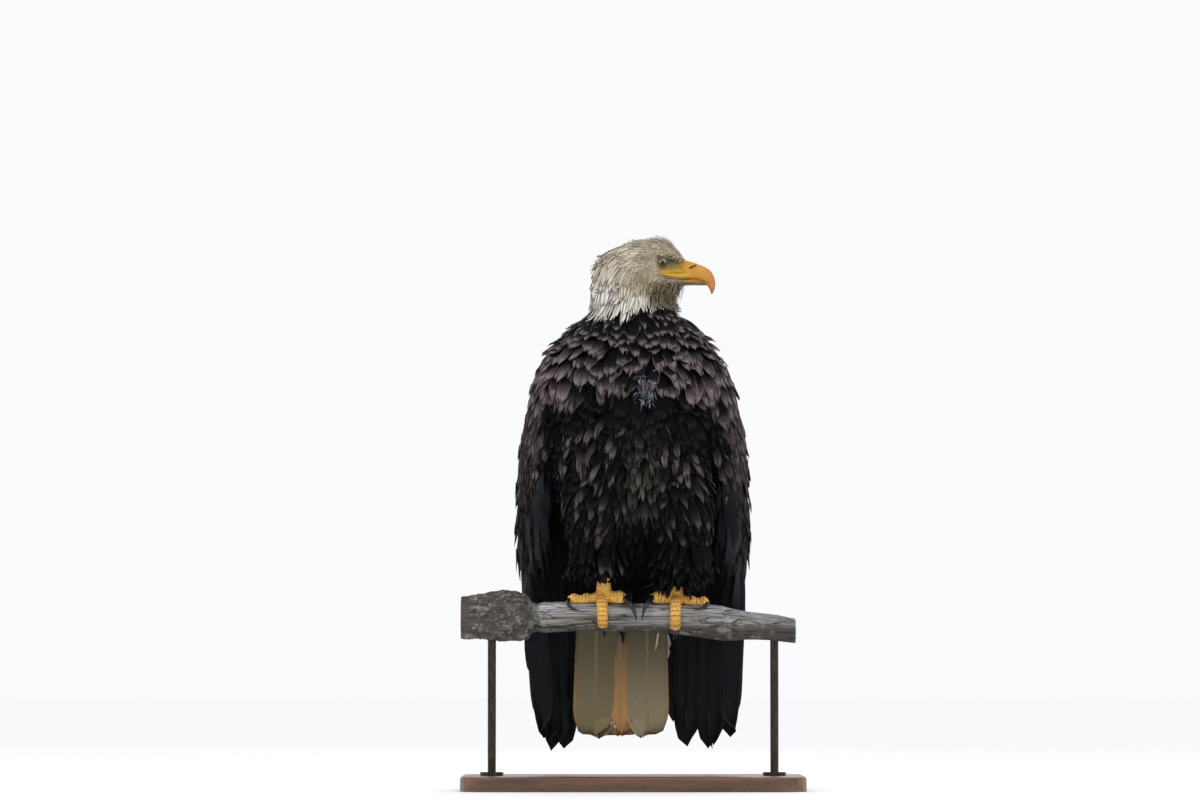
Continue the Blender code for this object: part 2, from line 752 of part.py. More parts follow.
def bill_form(keys, segments, ridge):
    """Sections across a bill, each tipped down by its angle, and narrower towards its ridge."""
    rings = []
    for x, z, tip, half_height, half_width in interpolate(keys, 2):
        angle = math.radians(tip)
        up = Vector((math.sin(angle), 0, math.cos(angle)))
        ring = []
        for right, rise in superellipse(segments, 2.2, half_width, half_height):
            narrow = 1 - ridge * max(rise / half_height, 0.0)
            ring.append(Vector((x, right * narrow, z)) + up * rise)
        rings.append(ring)
    return loft(rings)


def head_form():
    """The feathered head, in place, without its brows and hollows."""
    rings = []
    for x, z, half_height, half_width in interpolate(HEAD_KEYS, 2):
        section = superellipse(16, 2.2, half_width, half_height)
        rings.append([Vector((x, right, z + up)) for right, up in section])
    return in_place(loft(rings))


def in_place(mesh):
    """The mesh moved from the head's own frame to where the head is."""
    mesh.transform(HEAD_PLACE)
    return mesh


def make_head():
    """The feathered head, its eyes, the horn of the bill, and the soft cere and gape."""
    forehead, lower = in_place(bill_form(BILL_KEYS, 12, 0.28)), in_place(bill_form(LOWER_BILL_KEYS, 10, 0.0))
    gapes, slits, hollows, brows, balls = [], [], [], [], []
    for name, sign in SIDE.items():
        gapes.append(in_place(tube(mirrored(GAPE_PATH, sign), GAPE_RADII, 1)))
        at = (NOSTRIL_AT.x, NOSTRIL_AT.y * sign, NOSTRIL_AT.z)
        slits.append(in_place(ball(Vector(at), NOSTRIL_SIZE, (0.0, NOSTRIL_TILT, 0.0), 8, 6)))
        at = (LORE_AT.x, LORE_AT.y * sign, LORE_AT.z)
        hollows.append(in_place(ball(Vector(at), LORE_SIZE, (0.0, 0.0, LORE_TURN * sign), 10, 6)))
        brows.append(in_place(tube(mirrored(BROW_PATH, sign), BROW_RADII, 1)))
        at = (EYE_AT.x, EYE_AT.y * sign, EYE_AT.z)
        balls.append(in_place(ball(Vector(at), (EYE_RADIUS,) * 3)))
        add_object(f"eye_{name}", balls[-1].copy(), EYE_YELLOW)

    point = HEAD_PLACE @ CERE_EDGE
    normal = HEAD_PLACE.to_3x3() @ Vector((0.97, 0.0, -0.24))
    horn, soft = halves(forehead, point, normal)
    add_object("bill_upper", horn, BILL_HORN)
    cere = add_object("cere", soft, CERE_YELLOW)
    for gape, slit in zip(gapes, slits):
        combine(cere, "UNION", gape.copy())
        combine(cere, "DIFFERENCE", slit)
    bill_lower = add_object("bill_lower", lower.copy(), BILL_HORN)
    trim(bill_lower, forehead, *gapes)

    head = add_object("head", head_form(), WHITE_PLUMAGE)
    for brow in brows:
        combine(head, "UNION", brow)
    for hollow in hollows:
        combine(head, "DIFFERENCE", hollow)
    trim(head, *balls, *gapes, forehead, lower)
    return [head_form(), lower]


# --- Legs and feet -------------------------------------------------------------------------


def around_branch(x, angle, lift):
    """A point beside the branch: the angle is 90 on top and grows towards the front."""
    height, radius = branch_at(x)
    turn = math.radians(angle)
    reach = radius + lift
    return Vector((x, PERCH_Y + reach * math.cos(turn), height + reach * math.sin(turn)))


def on_branch(side, keys):
    """A tube along the branch through keys of (inward distance, angle, lift, radius)."""
    path = [around_branch(FOOT_X[side] - SIDE[side] * inward, angle, lift) for inward, angle, lift, _ in keys]
    return tube(path, [key[-1] for key in keys])


def make_foot(side, branch, thigh):
    """Four toes and their pad in one piece, the bare shank above it, and a claw on each toe."""
    sole = around_branch(FOOT_X[side], 90, SOLE_LIFT)
    pad = ball(sole, SOLE_SIZE)
    foot = add_object(f"foot_{side}", pad.copy(), FOOT_YELLOW)
    toes = {name: on_branch(side, keys) for name, keys in TOES[side].items()}
    for toe in toes.values():
        combine(foot, "UNION", toe.copy())
    trim(foot, branch)
    ankle = Vector((SHANK_X[side], PERCH_Y - 0.001, sole.z))
    knee = Vector((SHANK_X[side], PERCH_Y - 0.014, KNEE_Z))
    shank_path = [ankle, ankle.lerp(knee, 0.3), ankle.lerp(knee, 0.6), knee]
    shank = add_object(f"shank_{side}", tube(shank_path, SHANK_RADII, 1), FOOT_YELLOW)
    trim(shank, pad, *toes.values(), thigh)
    for name, keys in CLAWS[side].items():
        claw = add_object(f"claw_{side}_{name}", on_branch(side, keys), CLAW_HORN)
        trim(claw, toes[name], branch)


# --- The eagle -----------------------------------------------------------------------------


def main():
    branch = make_branch()
    make_base()
    for side in SIDE:
        make_rod(side, branch)

    head_solids = make_head()
    body = body_form()
    upper, lower = halves(body, (0, 0, NECK_FROM), (0.0, 0.25, 1.0))
    neck = add_object("neck", upper, BROWN_PLUMAGE)
    trim(neck, *head_solids)
    add_object("trunk", lower, BROWN_PLUMAGE)

    thighs = {side: thigh_form(side) for side in SIDE}
    wings = {side: wing_form(side) for side in SIDE}
    for side, sign in SIDE.items():
        thigh = add_object(f"thigh_{side}", thighs[side].copy(), BROWN_PLUMAGE)
        trim(thigh, body)
        wing = add_object(f"wing_{side}", wings[side].copy(), DARK_PLUMAGE)
        for slot in WING_SLOTS[side] + TIP_TRIMS[side]:
            combine(wing, "DIFFERENCE", slot_form(slot, sign))
        trim(wing, body, thighs[side])
        make_foot(side, branch, thighs[side])
    tail = add_object("tail", tail_form(), WHITE_PLUMAGE)
    combine(tail, "DIFFERENCE", slot_form(TAIL_SLOT, 1.0))
    trim(tail, body, *wings.values(), *thighs.values())


clear_scene()
PARTS = make_collection("bald_eagle")
CUTTERS = make_collection("cutters", hidden=True)
WHITE_PLUMAGE = make_material("white_plumage", "D8D2C0", 0.80)
BROWN_PLUMAGE = make_material("brown_plumage", "3A2F2A", 0.75)
DARK_PLUMAGE = make_material("dark_plumage", "1E1A1B", 0.62)
BILL_HORN = make_material("bill_horn", "D99A2E", 0.35)
CERE_YELLOW = make_material("cere_yellow", "DDB02E", 0.50)
EYE_YELLOW = make_material("eye_pale_yellow", "D6C98A", 0.08)
FOOT_YELLOW = make_material("foot_scales", "D9992A", 0.50)
CLAW_HORN = make_material("claw_horn", "1A1C20", 0.25)
WEATHERED_WOOD = make_material("weathered_wood", "8F8A84", 0.85)
WALNUT = make_material("walnut", "4A2E1E", 0.40)
DARK_METAL = make_material("dark_metal", "2A2A2C", 0.35, 0.9)
main()
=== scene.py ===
"""Looks of the bald eagle display model: its skin, feathers, bill, eyes, feet, branch, stand and stage."""

import math

import bmesh
import bpy
import numpy as np
from bpy.props import FloatProperty, FloatVectorProperty, PointerProperty
from mathutils import Matrix, Vector, noise
from mathutils.bvhtree import BVHTree
from mathutils.kdtree import KDTree


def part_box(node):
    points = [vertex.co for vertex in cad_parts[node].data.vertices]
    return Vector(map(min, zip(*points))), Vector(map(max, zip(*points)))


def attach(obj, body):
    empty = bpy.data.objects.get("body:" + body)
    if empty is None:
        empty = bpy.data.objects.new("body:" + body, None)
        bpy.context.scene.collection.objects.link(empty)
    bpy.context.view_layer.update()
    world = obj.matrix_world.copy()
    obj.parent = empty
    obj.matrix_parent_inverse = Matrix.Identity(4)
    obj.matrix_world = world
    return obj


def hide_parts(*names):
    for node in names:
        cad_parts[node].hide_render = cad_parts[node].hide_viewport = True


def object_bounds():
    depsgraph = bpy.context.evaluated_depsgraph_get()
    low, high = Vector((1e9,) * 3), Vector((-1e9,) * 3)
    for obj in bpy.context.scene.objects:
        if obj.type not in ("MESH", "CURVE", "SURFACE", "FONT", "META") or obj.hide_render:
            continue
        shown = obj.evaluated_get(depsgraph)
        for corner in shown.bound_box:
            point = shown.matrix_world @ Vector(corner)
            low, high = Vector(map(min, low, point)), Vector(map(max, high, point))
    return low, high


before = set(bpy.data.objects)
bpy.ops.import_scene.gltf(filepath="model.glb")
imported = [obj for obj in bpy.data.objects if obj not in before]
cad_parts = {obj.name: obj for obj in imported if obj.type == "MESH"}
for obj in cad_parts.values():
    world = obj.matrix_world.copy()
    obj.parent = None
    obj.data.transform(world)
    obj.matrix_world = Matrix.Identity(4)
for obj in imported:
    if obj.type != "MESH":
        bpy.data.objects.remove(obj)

bl_info = {
    "name": "Bald eagle display model",
    "version": (1, 0, 0),
    "blender": (4, 5, 0),
    "location": "3D View > Sidebar > Eagle",
    "description": "Builds the skin, feathers, bill, eyes, feet, branch, stand and stage of the eagle",
    "category": "Object",
}

CAD_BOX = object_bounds()
FLESH = ("head", "neck", "trunk", "tail", "thigh_left", "thigh_right", "wing_left", "wing_right")
SIDES = {"right": -1.0, "left": 1.0}
TOES = ("middle", "outer", "inner", "hind")


def middle(node):
    low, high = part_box(node)
    return (low + high) / 2


# The head's own frame, from its two eyes: X to the bill, Y to the bird's left, Z up.
EYE_FORWARD = 0.042
EYE_RADIUS = (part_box("eye_left")[1].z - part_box("eye_left")[0].z) / 2
ACROSS = (middle("eye_left") - middle("eye_right")).normalized()
UP = Vector((0.0, 0.0, 1.0))
FORWARD = ACROSS.cross(UP).normalized()
HEAD_ORIGIN = (middle("eye_left") + middle("eye_right")) / 2 - FORWARD * EYE_FORWARD
TO_HEAD = Matrix((FORWARD, ACROSS, UP)).to_4x4() @ Matrix.Translation(-HEAD_ORIGIN)
FROM_HEAD = TO_HEAD.inverted()

# The branch runs along X; this is its axis beside the feet.
PERCH_Y = middle("stand_rod_left").y
PERCH_Z = 0.251


# --- Numbers -------------------------------------------------------------------------------


def linear(hex_colour):
    """An sRGB hex colour as linear red, green and blue."""
    channels = [int(hex_colour[k : k + 2], 16) / 255 for k in (0, 2, 4)]
    return np.array([c / 12.92 if c <= 0.04045 else ((c + 0.055) / 1.055) ** 2.4 for c in channels])


def palette(*hex_colours):
    return [linear(colour) for colour in hex_colours]


def ramp(value, low, high):
    """0 below low, 1 above high, smooth between; low may be the larger."""
    t = np.clip((np.asarray(value, float) - low) / (high - low), 0.0, 1.0)
    return t * t * (3 - 2 * t)


def mix(a, b, share):
    """a where share is 0 and b where it is 1; a share for each point mixes whole colours."""
    share = np.asarray(share, float)
    if share.ndim == 1 and 3 in (np.shape(a)[-1:] + np.shape(b)[-1:]):
        share = share[:, None]
    return np.asarray(a) * (1 - share) + np.asarray(b) * share


def in_head(points):
    """Points in the head's own frame."""
    matrix = np.array(TO_HEAD)
    return np.asarray(points) @ matrix[:3, :3].T + matrix[:3, 3]


def stripe(offset, width):
    """1 where the offset is 0, fading out over the width on both sides."""
    return np.exp(-((offset / width) ** 2))


def unit(vectors):
    length = np.linalg.norm(vectors, axis=-1, keepdims=True)
    return vectors / np.maximum(length, 1e-12)


def waves(points, scale, seed=0.0):
    """Smooth noise from -1 to 1 at each point; scale is the size of its lumps in metres."""
    shift = Vector((seed * 7.1, seed * 3.3, seed * 5.7))
    return np.array([noise.noise(Vector(p) / scale + shift) for p in points])


# --- Meshes --------------------------------------------------------------------------------


def bmesh_of(mesh):
    bm = bmesh.new()
    bm.from_mesh(mesh)
    return bm


def mesh_of(bm, mesh=None):
    """Writes the bmesh into the mesh, or into a new one, and frees it."""
    mesh = mesh or bpy.data.meshes.new("made")
    bm.to_mesh(mesh)
    bm.free()
    return mesh


def smooth_verts(bm, verts, rounds, factor=0.5):
    for _ in range(rounds):
        bmesh.ops.smooth_vert(
            bm, verts=verts, factor=factor, use_axis_x=True, use_axis_y=True, use_axis_z=True
        )


def cad_mesh(nodes, grow=0.0):
    """One mesh with copies of these CAD nodes, their loose triangles joined up and grown outwards."""
    whole = bmesh.new()
    for node in nodes:
        bm = bmesh_of(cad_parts[node].data)
        bmesh.ops.remove_doubles(bm, verts=bm.verts, dist=1e-6)
        bm.normal_update()
        if grow:
            normals = [vert.normal.copy() for vert in bm.verts]
            for vert, normal in zip(bm.verts, normals):
                vert.co += normal * grow
        part = mesh_of(bm)
        whole.from_mesh(part)
        bpy.data.meshes.remove(part)
    return mesh_of(whole)


def remeshed(mesh, voxel):
    """The mesh's solids joined into one even skin of quads."""
    holder = bpy.data.objects.new("holder", mesh)
    bpy.context.scene.collection.objects.link(holder)
    modifier = holder.modifiers.new("even", "REMESH")
    modifier.mode = "VOXEL"
    modifier.voxel_size = voxel
    modifier.adaptivity = 0.0
    graph = bpy.context.evaluated_depsgraph_get()
    made = bpy.data.meshes.new_from_object(holder.evaluated_get(graph))
    bpy.data.objects.remove(holder)
    bpy.data.meshes.remove(mesh)
    return made


def smoothed(mesh, rounds, factor=0.5):
    bm = bmesh_of(mesh)
    smooth_verts(bm, bm.verts, rounds, factor)
    return mesh_of(bm, mesh)


def refined(nodes, voxel, rounds, inset=0.0):
    """A fine smooth copy of the CAD nodes, moved in by the inset."""
    mesh = smoothed(remeshed(cad_mesh(nodes, 0.00025), voxel), rounds)
    points, normals = mesh_points(mesh), mesh_normals(mesh)
    set_points(mesh, points - normals * (inset + 0.0001))
    return mesh


def mesh_points(mesh):
    points = np.empty(len(mesh.vertices) * 3, np.float32)
    mesh.vertices.foreach_get("co", points)
    return points.reshape(-1, 3).astype(float)


def mesh_normals(mesh):
    normals = np.empty(len(mesh.vertices) * 3, np.float32)
    mesh.vertex_normals.foreach_get("vector", normals)
    return normals.reshape(-1, 3).astype(float)


def set_points(mesh, points):
    mesh.vertices.foreach_set("co", np.asarray(points, np.float32).ravel())
    mesh.update()


def colour_points(mesh, colours):
    """Gives each point a colour, as the attribute "tint"; its alpha is 1 where none is given."""
    if colours.shape[1] == 3:
        colours = np.column_stack([colours, np.ones(len(colours))])
    attribute = mesh.attributes.get("tint") or mesh.attributes.new("tint", "FLOAT_COLOR", "POINT")
    attribute.data.foreach_set("color", np.asarray(colours, np.float32).ravel())


def add_piece(name, mesh, materials, replaces=()):
    """An object of the eagle, riding on the model's one body."""
    mesh.name = name
    mesh.materials.clear()
    for material in materials:
        mesh.materials.append(material)
    mesh.shade_smooth()
    obj = bpy.data.objects.new(name, mesh)
    bpy.context.scene.collection.objects.link(obj)
    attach(obj, "root")
    if replaces:
        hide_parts(*replaces)
    return obj


def point_tree(points):
    tree = KDTree(len(points))
    for k, point in enumerate(points):
        tree.insert(point, k)
    tree.balance()
    return tree


def skin_map(obj):
    """Where the skin's unwrap puts each of its loops."""
    uv = np.empty(len(obj.data.loops) * 2, np.float32)
    obj.data.uv_layers["OFBake"].data.foreach_get("uv", uv)
    return uv.reshape(-1, 2)


def unwrap(obj):
    """An unwrap of the object's own shape, in the UV map OFBake."""
    obj.data.uv_layers.new(name="OFBake")
    bpy.context.view_layer.objects.active = obj
    bpy.ops.object.select_all(action="DESELECT")
    obj.select_set(True)
    bpy.ops.object.mode_set(mode="EDIT")
    bpy.ops.mesh.select_all(action="SELECT")
    bpy.ops.uv.smart_project(angle_limit=math.radians(66), island_margin=0.002)
    bpy.ops.object.mode_set(mode="OBJECT")


class Surface:
    """A closed surface that vanes are laid over."""

    def __init__(self, mesh):
        mesh.calc_loop_triangles()
        self.points = mesh_points(mesh)
        self.faces = np.empty(len(mesh.loop_triangles) * 3, np.int32)
        mesh.loop_triangles.foreach_get("vertices", self.faces)
        self.faces = self.faces.reshape(-1, 3)
        self.loops = np.empty(len(mesh.loop_triangles) * 3, np.int32)
        mesh.loop_triangles.foreach_get("loops", self.loops)
        self.loops = self.loops.reshape(-1, 3)
        self.tree = BVHTree.FromPolygons(self.points.tolist(), self.faces.tolist())

    def nearest(self, point):
        place, normal, _, distance = self.tree.find_nearest(point)
        return place, normal, distance

    def thickness(self, point, normal):
        """How deep the solid is under a point of its surface."""
        start = Vector(point) - Vector(normal) * 1e-4
        hit = self.tree.ray_cast(start, -Vector(normal))
        return hit[3] if hit[0] is not None else 1.0


# --- Materials -----------------------------------------------------------------------------


SMOOTH = {"interpolation_type": "SMOOTHSTEP"}  # a Map Range node that eases between its ends
COLOURS = {"data_type": "RGBA"}  # a Mix node that blends colours
TIMES = {"operation": "MULTIPLY"}
TIMES_PLUS = {"operation": "MULTIPLY_ADD"}  # input 0 times input 1, plus input 2


def add_node(tree, kind, settings=None, inputs=None):
    """Adds a node with its settings and its inputs, by name or number.

    An input takes a value or a link from a socket or a node, which stands for its first output.
    """
    node = tree.nodes.new(kind)
    for name, value in (settings or {}).items():
        setattr(node, name, value)
    for name, value in (inputs or {}).items():
        if isinstance(value, bpy.types.Node):
            value = value.outputs[0]
        if isinstance(value, bpy.types.NodeSocket):
            tree.links.new(value, node.inputs[name])
        elif node.inputs[name].type == "RGBA" and len(value) == 3:
            node.inputs[name].default_value = (*value, 1.0)
        else:
            node.inputs[name].default_value = value
    return node


def new_material(name, roughness, **sockets):
    """A Principled material; returns it with its tree and its shader."""
    made = bpy.data.materials.new(name)
    made.use_nodes = True
    shader = made.node_tree.nodes["Principled BSDF"]
    shader.inputs["Roughness"].default_value = roughness
    for name, value in sockets.items():
        shader.inputs[name.replace("_", " ")].default_value = value
    return made, made.node_tree, shader


def feather_material(
    name, root, shaft, rim, barbs, roughness, root_from, root_to, streak, gloss, rim_side, rim_tip
):
    """Feather keratin: fine barbs slanting off a shaft, soft and dull, with a paler rim, worn, and on the
    tail painted light shining through its edge.

    The attribute "tint" holds each feather's own colour, and its alpha how pale its rim is. The rim's
    shares start where it begins, across the vane and along it. Barbs are half a millimetre apart in
    life, and are drawn coarser here so that they show.
    """
    made, tree, shader = new_material(name, roughness, Specular_IOR_Level=gloss)
    tint = add_node(tree, "ShaderNodeAttribute", {"attribute_name": "tint"})
    uv = add_node(tree, "ShaderNodeUVMap", {"uv_map": "Vane"})
    split = add_node(tree, "ShaderNodeSeparateXYZ", None, {0: uv})
    side, along = split.outputs[0], split.outputs[1]
    centred = add_node(tree, "ShaderNodeMath", TIMES_PLUS, {0: side, 1: 2.0, 2: -1.0})
    across = add_node(tree, "ShaderNodeMath", {"operation": "ABSOLUTE"}, {0: centred})
    slant = add_node(tree, "ShaderNodeMath", TIMES_PLUS, {0: across, 1: -0.22, 2: along})
    row = add_node(tree, "ShaderNodeMath", TIMES, {0: slant, 1: barbs})
    lines = add_node(tree, "ShaderNodeCombineXYZ", None, {0: row, 1: side})
    barb = add_node(tree, "ShaderNodeTexNoise", None, {"Vector": lines, "Scale": 1.0, "Detail": 2.0})
    tone = add_node(
        tree, "ShaderNodeMapRange", None,
        {0: barb, 1: 0.2, 2: 0.8, 3: 1.0 - streak / 2, 4: 1.0 + streak / 2}
    )
    # Towards its root the vane takes the root colour: its greyer base, which the hackles, body feathers and
    # tail also use as painted shade where vanes overlap.
    grown = add_node(tree, "ShaderNodeMapRange", SMOOTH, {0: along, 1: root_from, 2: root_to})
    vane = add_node(tree, "ShaderNodeMix", COLOURS, {0: grown, 6: linear(root), 7: tint})
    near_side = add_node(tree, "ShaderNodeMapRange", SMOOTH, {0: across, 1: rim_side, 2: 0.99})
    near_tip = add_node(tree, "ShaderNodeMapRange", SMOOTH, {0: along, 1: rim_tip, 2: 0.995})
    edge = add_node(tree, "ShaderNodeMath", {"operation": "MAXIMUM"}, {0: near_side, 1: near_tip})
    shown = add_node(tree, "ShaderNodeMapRange", SMOOTH, {0: along, 1: 0.35, 2: 0.75})
    edge = add_node(tree, "ShaderNodeMath", TIMES, {0: edge, 1: shown})
    edge = add_node(tree, "ShaderNodeMath", TIMES, {0: edge, 1: tint.outputs["Alpha"]})
    worn = add_node(tree, "ShaderNodeMix", COLOURS, {0: edge, 6: vane.outputs[2], 7: linear(rim)})
    quill = add_node(tree, "ShaderNodeMapRange", SMOOTH, {0: across, 1: 0.10, 2: 0.02})
    half = add_node(tree, "ShaderNodeMath", TIMES, {0: quill, 1: 0.5})
    shafted = add_node(tree, "ShaderNodeMix", COLOURS, {0: half, 6: worn.outputs[2], 7: linear(shaft)})
    shade = add_node(
        tree, "ShaderNodeMix", {"data_type": "RGBA", "blend_type": "MULTIPLY"},
        {0: 1.0, 6: shafted.outputs[2], 7: tone},
    )
    height = add_node(tree, "ShaderNodeMath", TIMES_PLUS, {0: quill, 1: 1.5, 2: barb})
    bump = add_node(
        tree, "ShaderNodeBump", None, {"Height": height, "Strength": 0.35, "Distance": 0.0004}
    )
    tree.links.new(shade.outputs[2], shader.inputs["Base Color"])
    tree.links.new(bump.outputs[0], shader.inputs["Normal"])
    return made


def mottled_material(name, roughness, layers, bump, base=None, **sockets):
    """Noise layers over a base colour, or over the one that the attribute "tint" gives.

    Each layer is its pattern's size in metres along X, Y and Z, its detail, where it starts and is full,
    its colour and its strength. The bump is the layer that raises it, its strength and its depth.
    """
    made, tree, shader = new_material(name, roughness, **sockets)
    place = add_node(tree, "ShaderNodeTexCoord")
    if base:
        whole = linear(base)
    else:
        whole = add_node(tree, "ShaderNodeAttribute", {"attribute_name": "tint"}).outputs[0]
    heights = []
    for sizes, detail, start, full, colour, strength in layers:
        scaled = add_node(
            tree, "ShaderNodeMapping", None,
            {0: place.outputs["Object"], "Scale": tuple(1 / size for size in sizes)}
        )
        cloud = add_node(
            tree, "ShaderNodeTexNoise", None, {"Vector": scaled, "Scale": 1.0, "Detail": detail}
        )
        heights.append(cloud)
        share = add_node(tree, "ShaderNodeMapRange", SMOOTH, {0: cloud, 1: start, 2: full, 4: strength})
        whole = add_node(
            tree, "ShaderNodeMix", COLOURS, {0: share, 6: whole, 7: linear(colour)}
        ).outputs[2]
    layer, strength, depth = bump
    raised = add_node(
        tree, "ShaderNodeBump", None, {"Height": heights[layer], "Strength": strength, "Distance": depth}
    )
    tree.links.new(whole, shader.inputs["Base Color"])
    tree.links.new(raised.outputs[0], shader.inputs["Normal"])
    return made


# --- Feathers ------------------------------------------------------------------------------


def vane_template(columns, rows, fray, seed):
    """A flat closed lens of two grids that share their rim.

    Returns each point's place across (-1 to 1), along (0 to 1) and side (-1, 0 or 1), how far its barbs
    run past the outline, and the faces.
    """
    rng = np.random.default_rng(seed)
    bm = bmesh.new()
    for side in (1.0, -1.0):
        grid = bmesh.ops.create_grid(bm, x_segments=columns, y_segments=rows, size=1.0)["verts"]
        for vert in grid:
            on_rim = abs(vert.co.x) > 0.999 or abs(vert.co.y) > 0.999
            vert.co.z = 0.0 if on_rim else side * 0.01
        if side < 0:
            bmesh.ops.reverse_faces(bm, faces=list({face for vert in grid for face in vert.link_faces}))
    bmesh.ops.remove_doubles(bm, verts=bm.verts, dist=1e-4)
    bm.verts.index_update()
    points = np.array([vert.co for vert in bm.verts])
    faces = [[vert.index for vert in face.verts] for face in bm.faces]
    bm.free()
    across, along, side = points[:, 0], points[:, 1] / 2 + 0.5, points[:, 2] * 100
    column = np.round((across + 1) / 2 * columns).astype(int)
    teeth = rng.uniform(-1.0, 0.6, columns + 1) * fray
    splits = np.where(rng.random(columns + 1) < 0.3, -2.2 * fray, 0.0)
    reach = (teeth + splits)[column] * ramp(along, 0.72, 1.0)
    return {"across": across, "along": along, "side": side, "reach": reach, "faces": faces}


def vane_templates(columns, rows, fray, count):
    """Some templates of one size, each frayed in its own way."""
    return [vane_template(columns, rows, fray, seed) for seed in range(count)]


def vane_outline(swell, quill, fullness, start, taper, bluntness, root=0.5, least=0.0):
    """A feather's half width along its length, as a function of the share from its quill to its tip.

    It swells from the quill's share of the width until swell, and tapers from start over taper. Root is
    the power that rounds the tip, and least a width that it never falls below.
    """

    def half_width(s):
        grown = np.clip(s / swell, quill, 1) ** fullness
        left = 1 - np.clip((s - start) / taper, 0, 1) ** bluntness
        return grown * np.clip(left, 0, 1) ** root + least

    return half_width


# Widest past the middle, with a round tip.
BODY_OUTLINE = vane_outline(swell=0.38, quill=0.06, fullness=0.75, start=0.60, taper=0.43, bluntness=2.0)
# Widest early, drawn out to a point.
LANCE_OUTLINE = vane_outline(
    swell=0.30, quill=0.08, fullness=0.7, start=0.30, taper=0.70, bluntness=1.7, root=1.0, least=0.02
)
# Slim, widest at the middle, with a blunt point.
HACKLE_OUTLINE = vane_outline(swell=0.40, quill=0.08, fullness=0.7, start=0.42, taper=0.60, bluntness=1.8)
# Long parallel edges, then a tip that comes in.
FLIGHT_OUTLINE = vane_outline(swell=0.05, quill=0.10, fullness=0.5, start=0.80, taper=0.20, bluntness=1.9)
# Wide, with a blunt round end.
TAIL_OUTLINE = vane_outline(swell=0.08, quill=0.10, fullness=0.5, start=0.72, taper=0.283, bluntness=2.4)


def walk(surface, roots, headings, lengths, steps, droop=0.0, lie=None):
    """Lays each vane over the surface from its root; returns its points and the outward normals.

    Its heading is carried along and, where lie is given, turned step by step to the coat's own lie.
    """
    count = len(roots)
    points, normals = np.zeros((count, steps + 1, 3)), np.zeros((count, steps + 1, 3))
    places = np.array(roots, float)
    facings = np.array([surface.nearest(Vector(root))[1] for root in roots])
    strides = np.asarray(lengths)[:, None] / steps
    points[:, 0], normals[:, 0] = places, facings
    for step in range(steps):
        if lie is not None:
            headings = unit(headings) + 0.6 * unit(lie(places))
        headings = unit(headings) + np.array((0.0, 0.0, -droop))
        headings = unit(headings - facings * np.sum(headings * facings, 1, keepdims=True))
        targets = places + headings * strides
        for k in range(count):
            found, facing, distance = surface.nearest(Vector(targets[k]))
            places[k] = targets[k]
            if distance < 0.45 * strides[k, 0] and facing.dot(Vector(facings[k])) > 0.2:
                places[k] = found
                facings[k] += np.array(facing) * 1.5
        facings = unit(facings)
        points[:, step + 1], normals[:, step + 1] = places, facings
    return points, normals


def spline_weights(keys, rows):
    """Catmull-Rom weights of each key at each row's place along the spine, and of the slope."""
    rows = np.clip(rows, 0, 1) * (keys - 1)
    start = np.clip(np.floor(rows).astype(int), 0, keys - 2)
    t = rows - start
    value, slope = np.zeros((len(rows), keys)), np.zeros((len(rows), keys))
    blend = (-t + 2 * t**2 - t**3, 2 - 5 * t**2 + 3 * t**3, t + 4 * t**2 - 3 * t**3, -(t**2) + t**3)
    change = (-1 + 4 * t - 3 * t**2, -10 * t + 9 * t**2, 1 + 8 * t - 9 * t**2, -2 * t + 3 * t**2)
    for offset in range(4):
        place = (np.arange(len(rows)), np.clip(start + offset - 1, 0, keys - 1))
        np.add.at(value, place, blend[offset] / 2)
        np.add.at(slope, place, change[offset] / 2)
    return value, slope


def shape_vanes(template, outline, plan, chosen):
    """The points of every chosen vane of the plan, as an array of vanes by points."""
    across, along, side = template["across"], template["along"], template["side"]
    spines, normals = plan["spines"][chosen], plan["normals"][chosen]
    value, slope = spline_weights(spines.shape[1], along)
    place = np.einsum("pk,nkc->npc", value, spines)
    facing = unit(np.einsum("pk,nkc->npc", value, normals))
    tangent = unit(np.einsum("pk,nkc->npc", slope, spines))
    sideways = unit(np.cross(tangent, facing))
    facing = np.cross(sideways, tangent)
    roll = plan["roll"][chosen][:, None, None]
    rolled = sideways * np.cos(roll) + facing * np.sin(roll)
    facing = facing * np.cos(roll) - sideways * np.sin(roll)
    sideways = rolled
    length, width = plan["length"][chosen][:, None], plan["width"][chosen][:, None] / 2
    lift, sink = plan["lift"][chosen][:, None], plan["sink"][chosen][:, None]
    skew = 1 + plan["skew"][chosen][:, None] * np.sign(across)
    out = across * outline(along) * width * skew
    rise = lift * along ** plan["rise_power"] - sink * (1 - along)
    rise = rise + side * plan["thick"] * (1 - 0.6 * along)
    rise = rise - plan["camber"] * across**2 * width * outline(along)
    bow = plan["bow"][chosen][:, None] * length * along**2
    reach = template["reach"] * length
    return (
        place
        + sideways * (out + bow)[..., None]
        + facing * rise[..., None]
        + tangent * reach[..., None]
    )


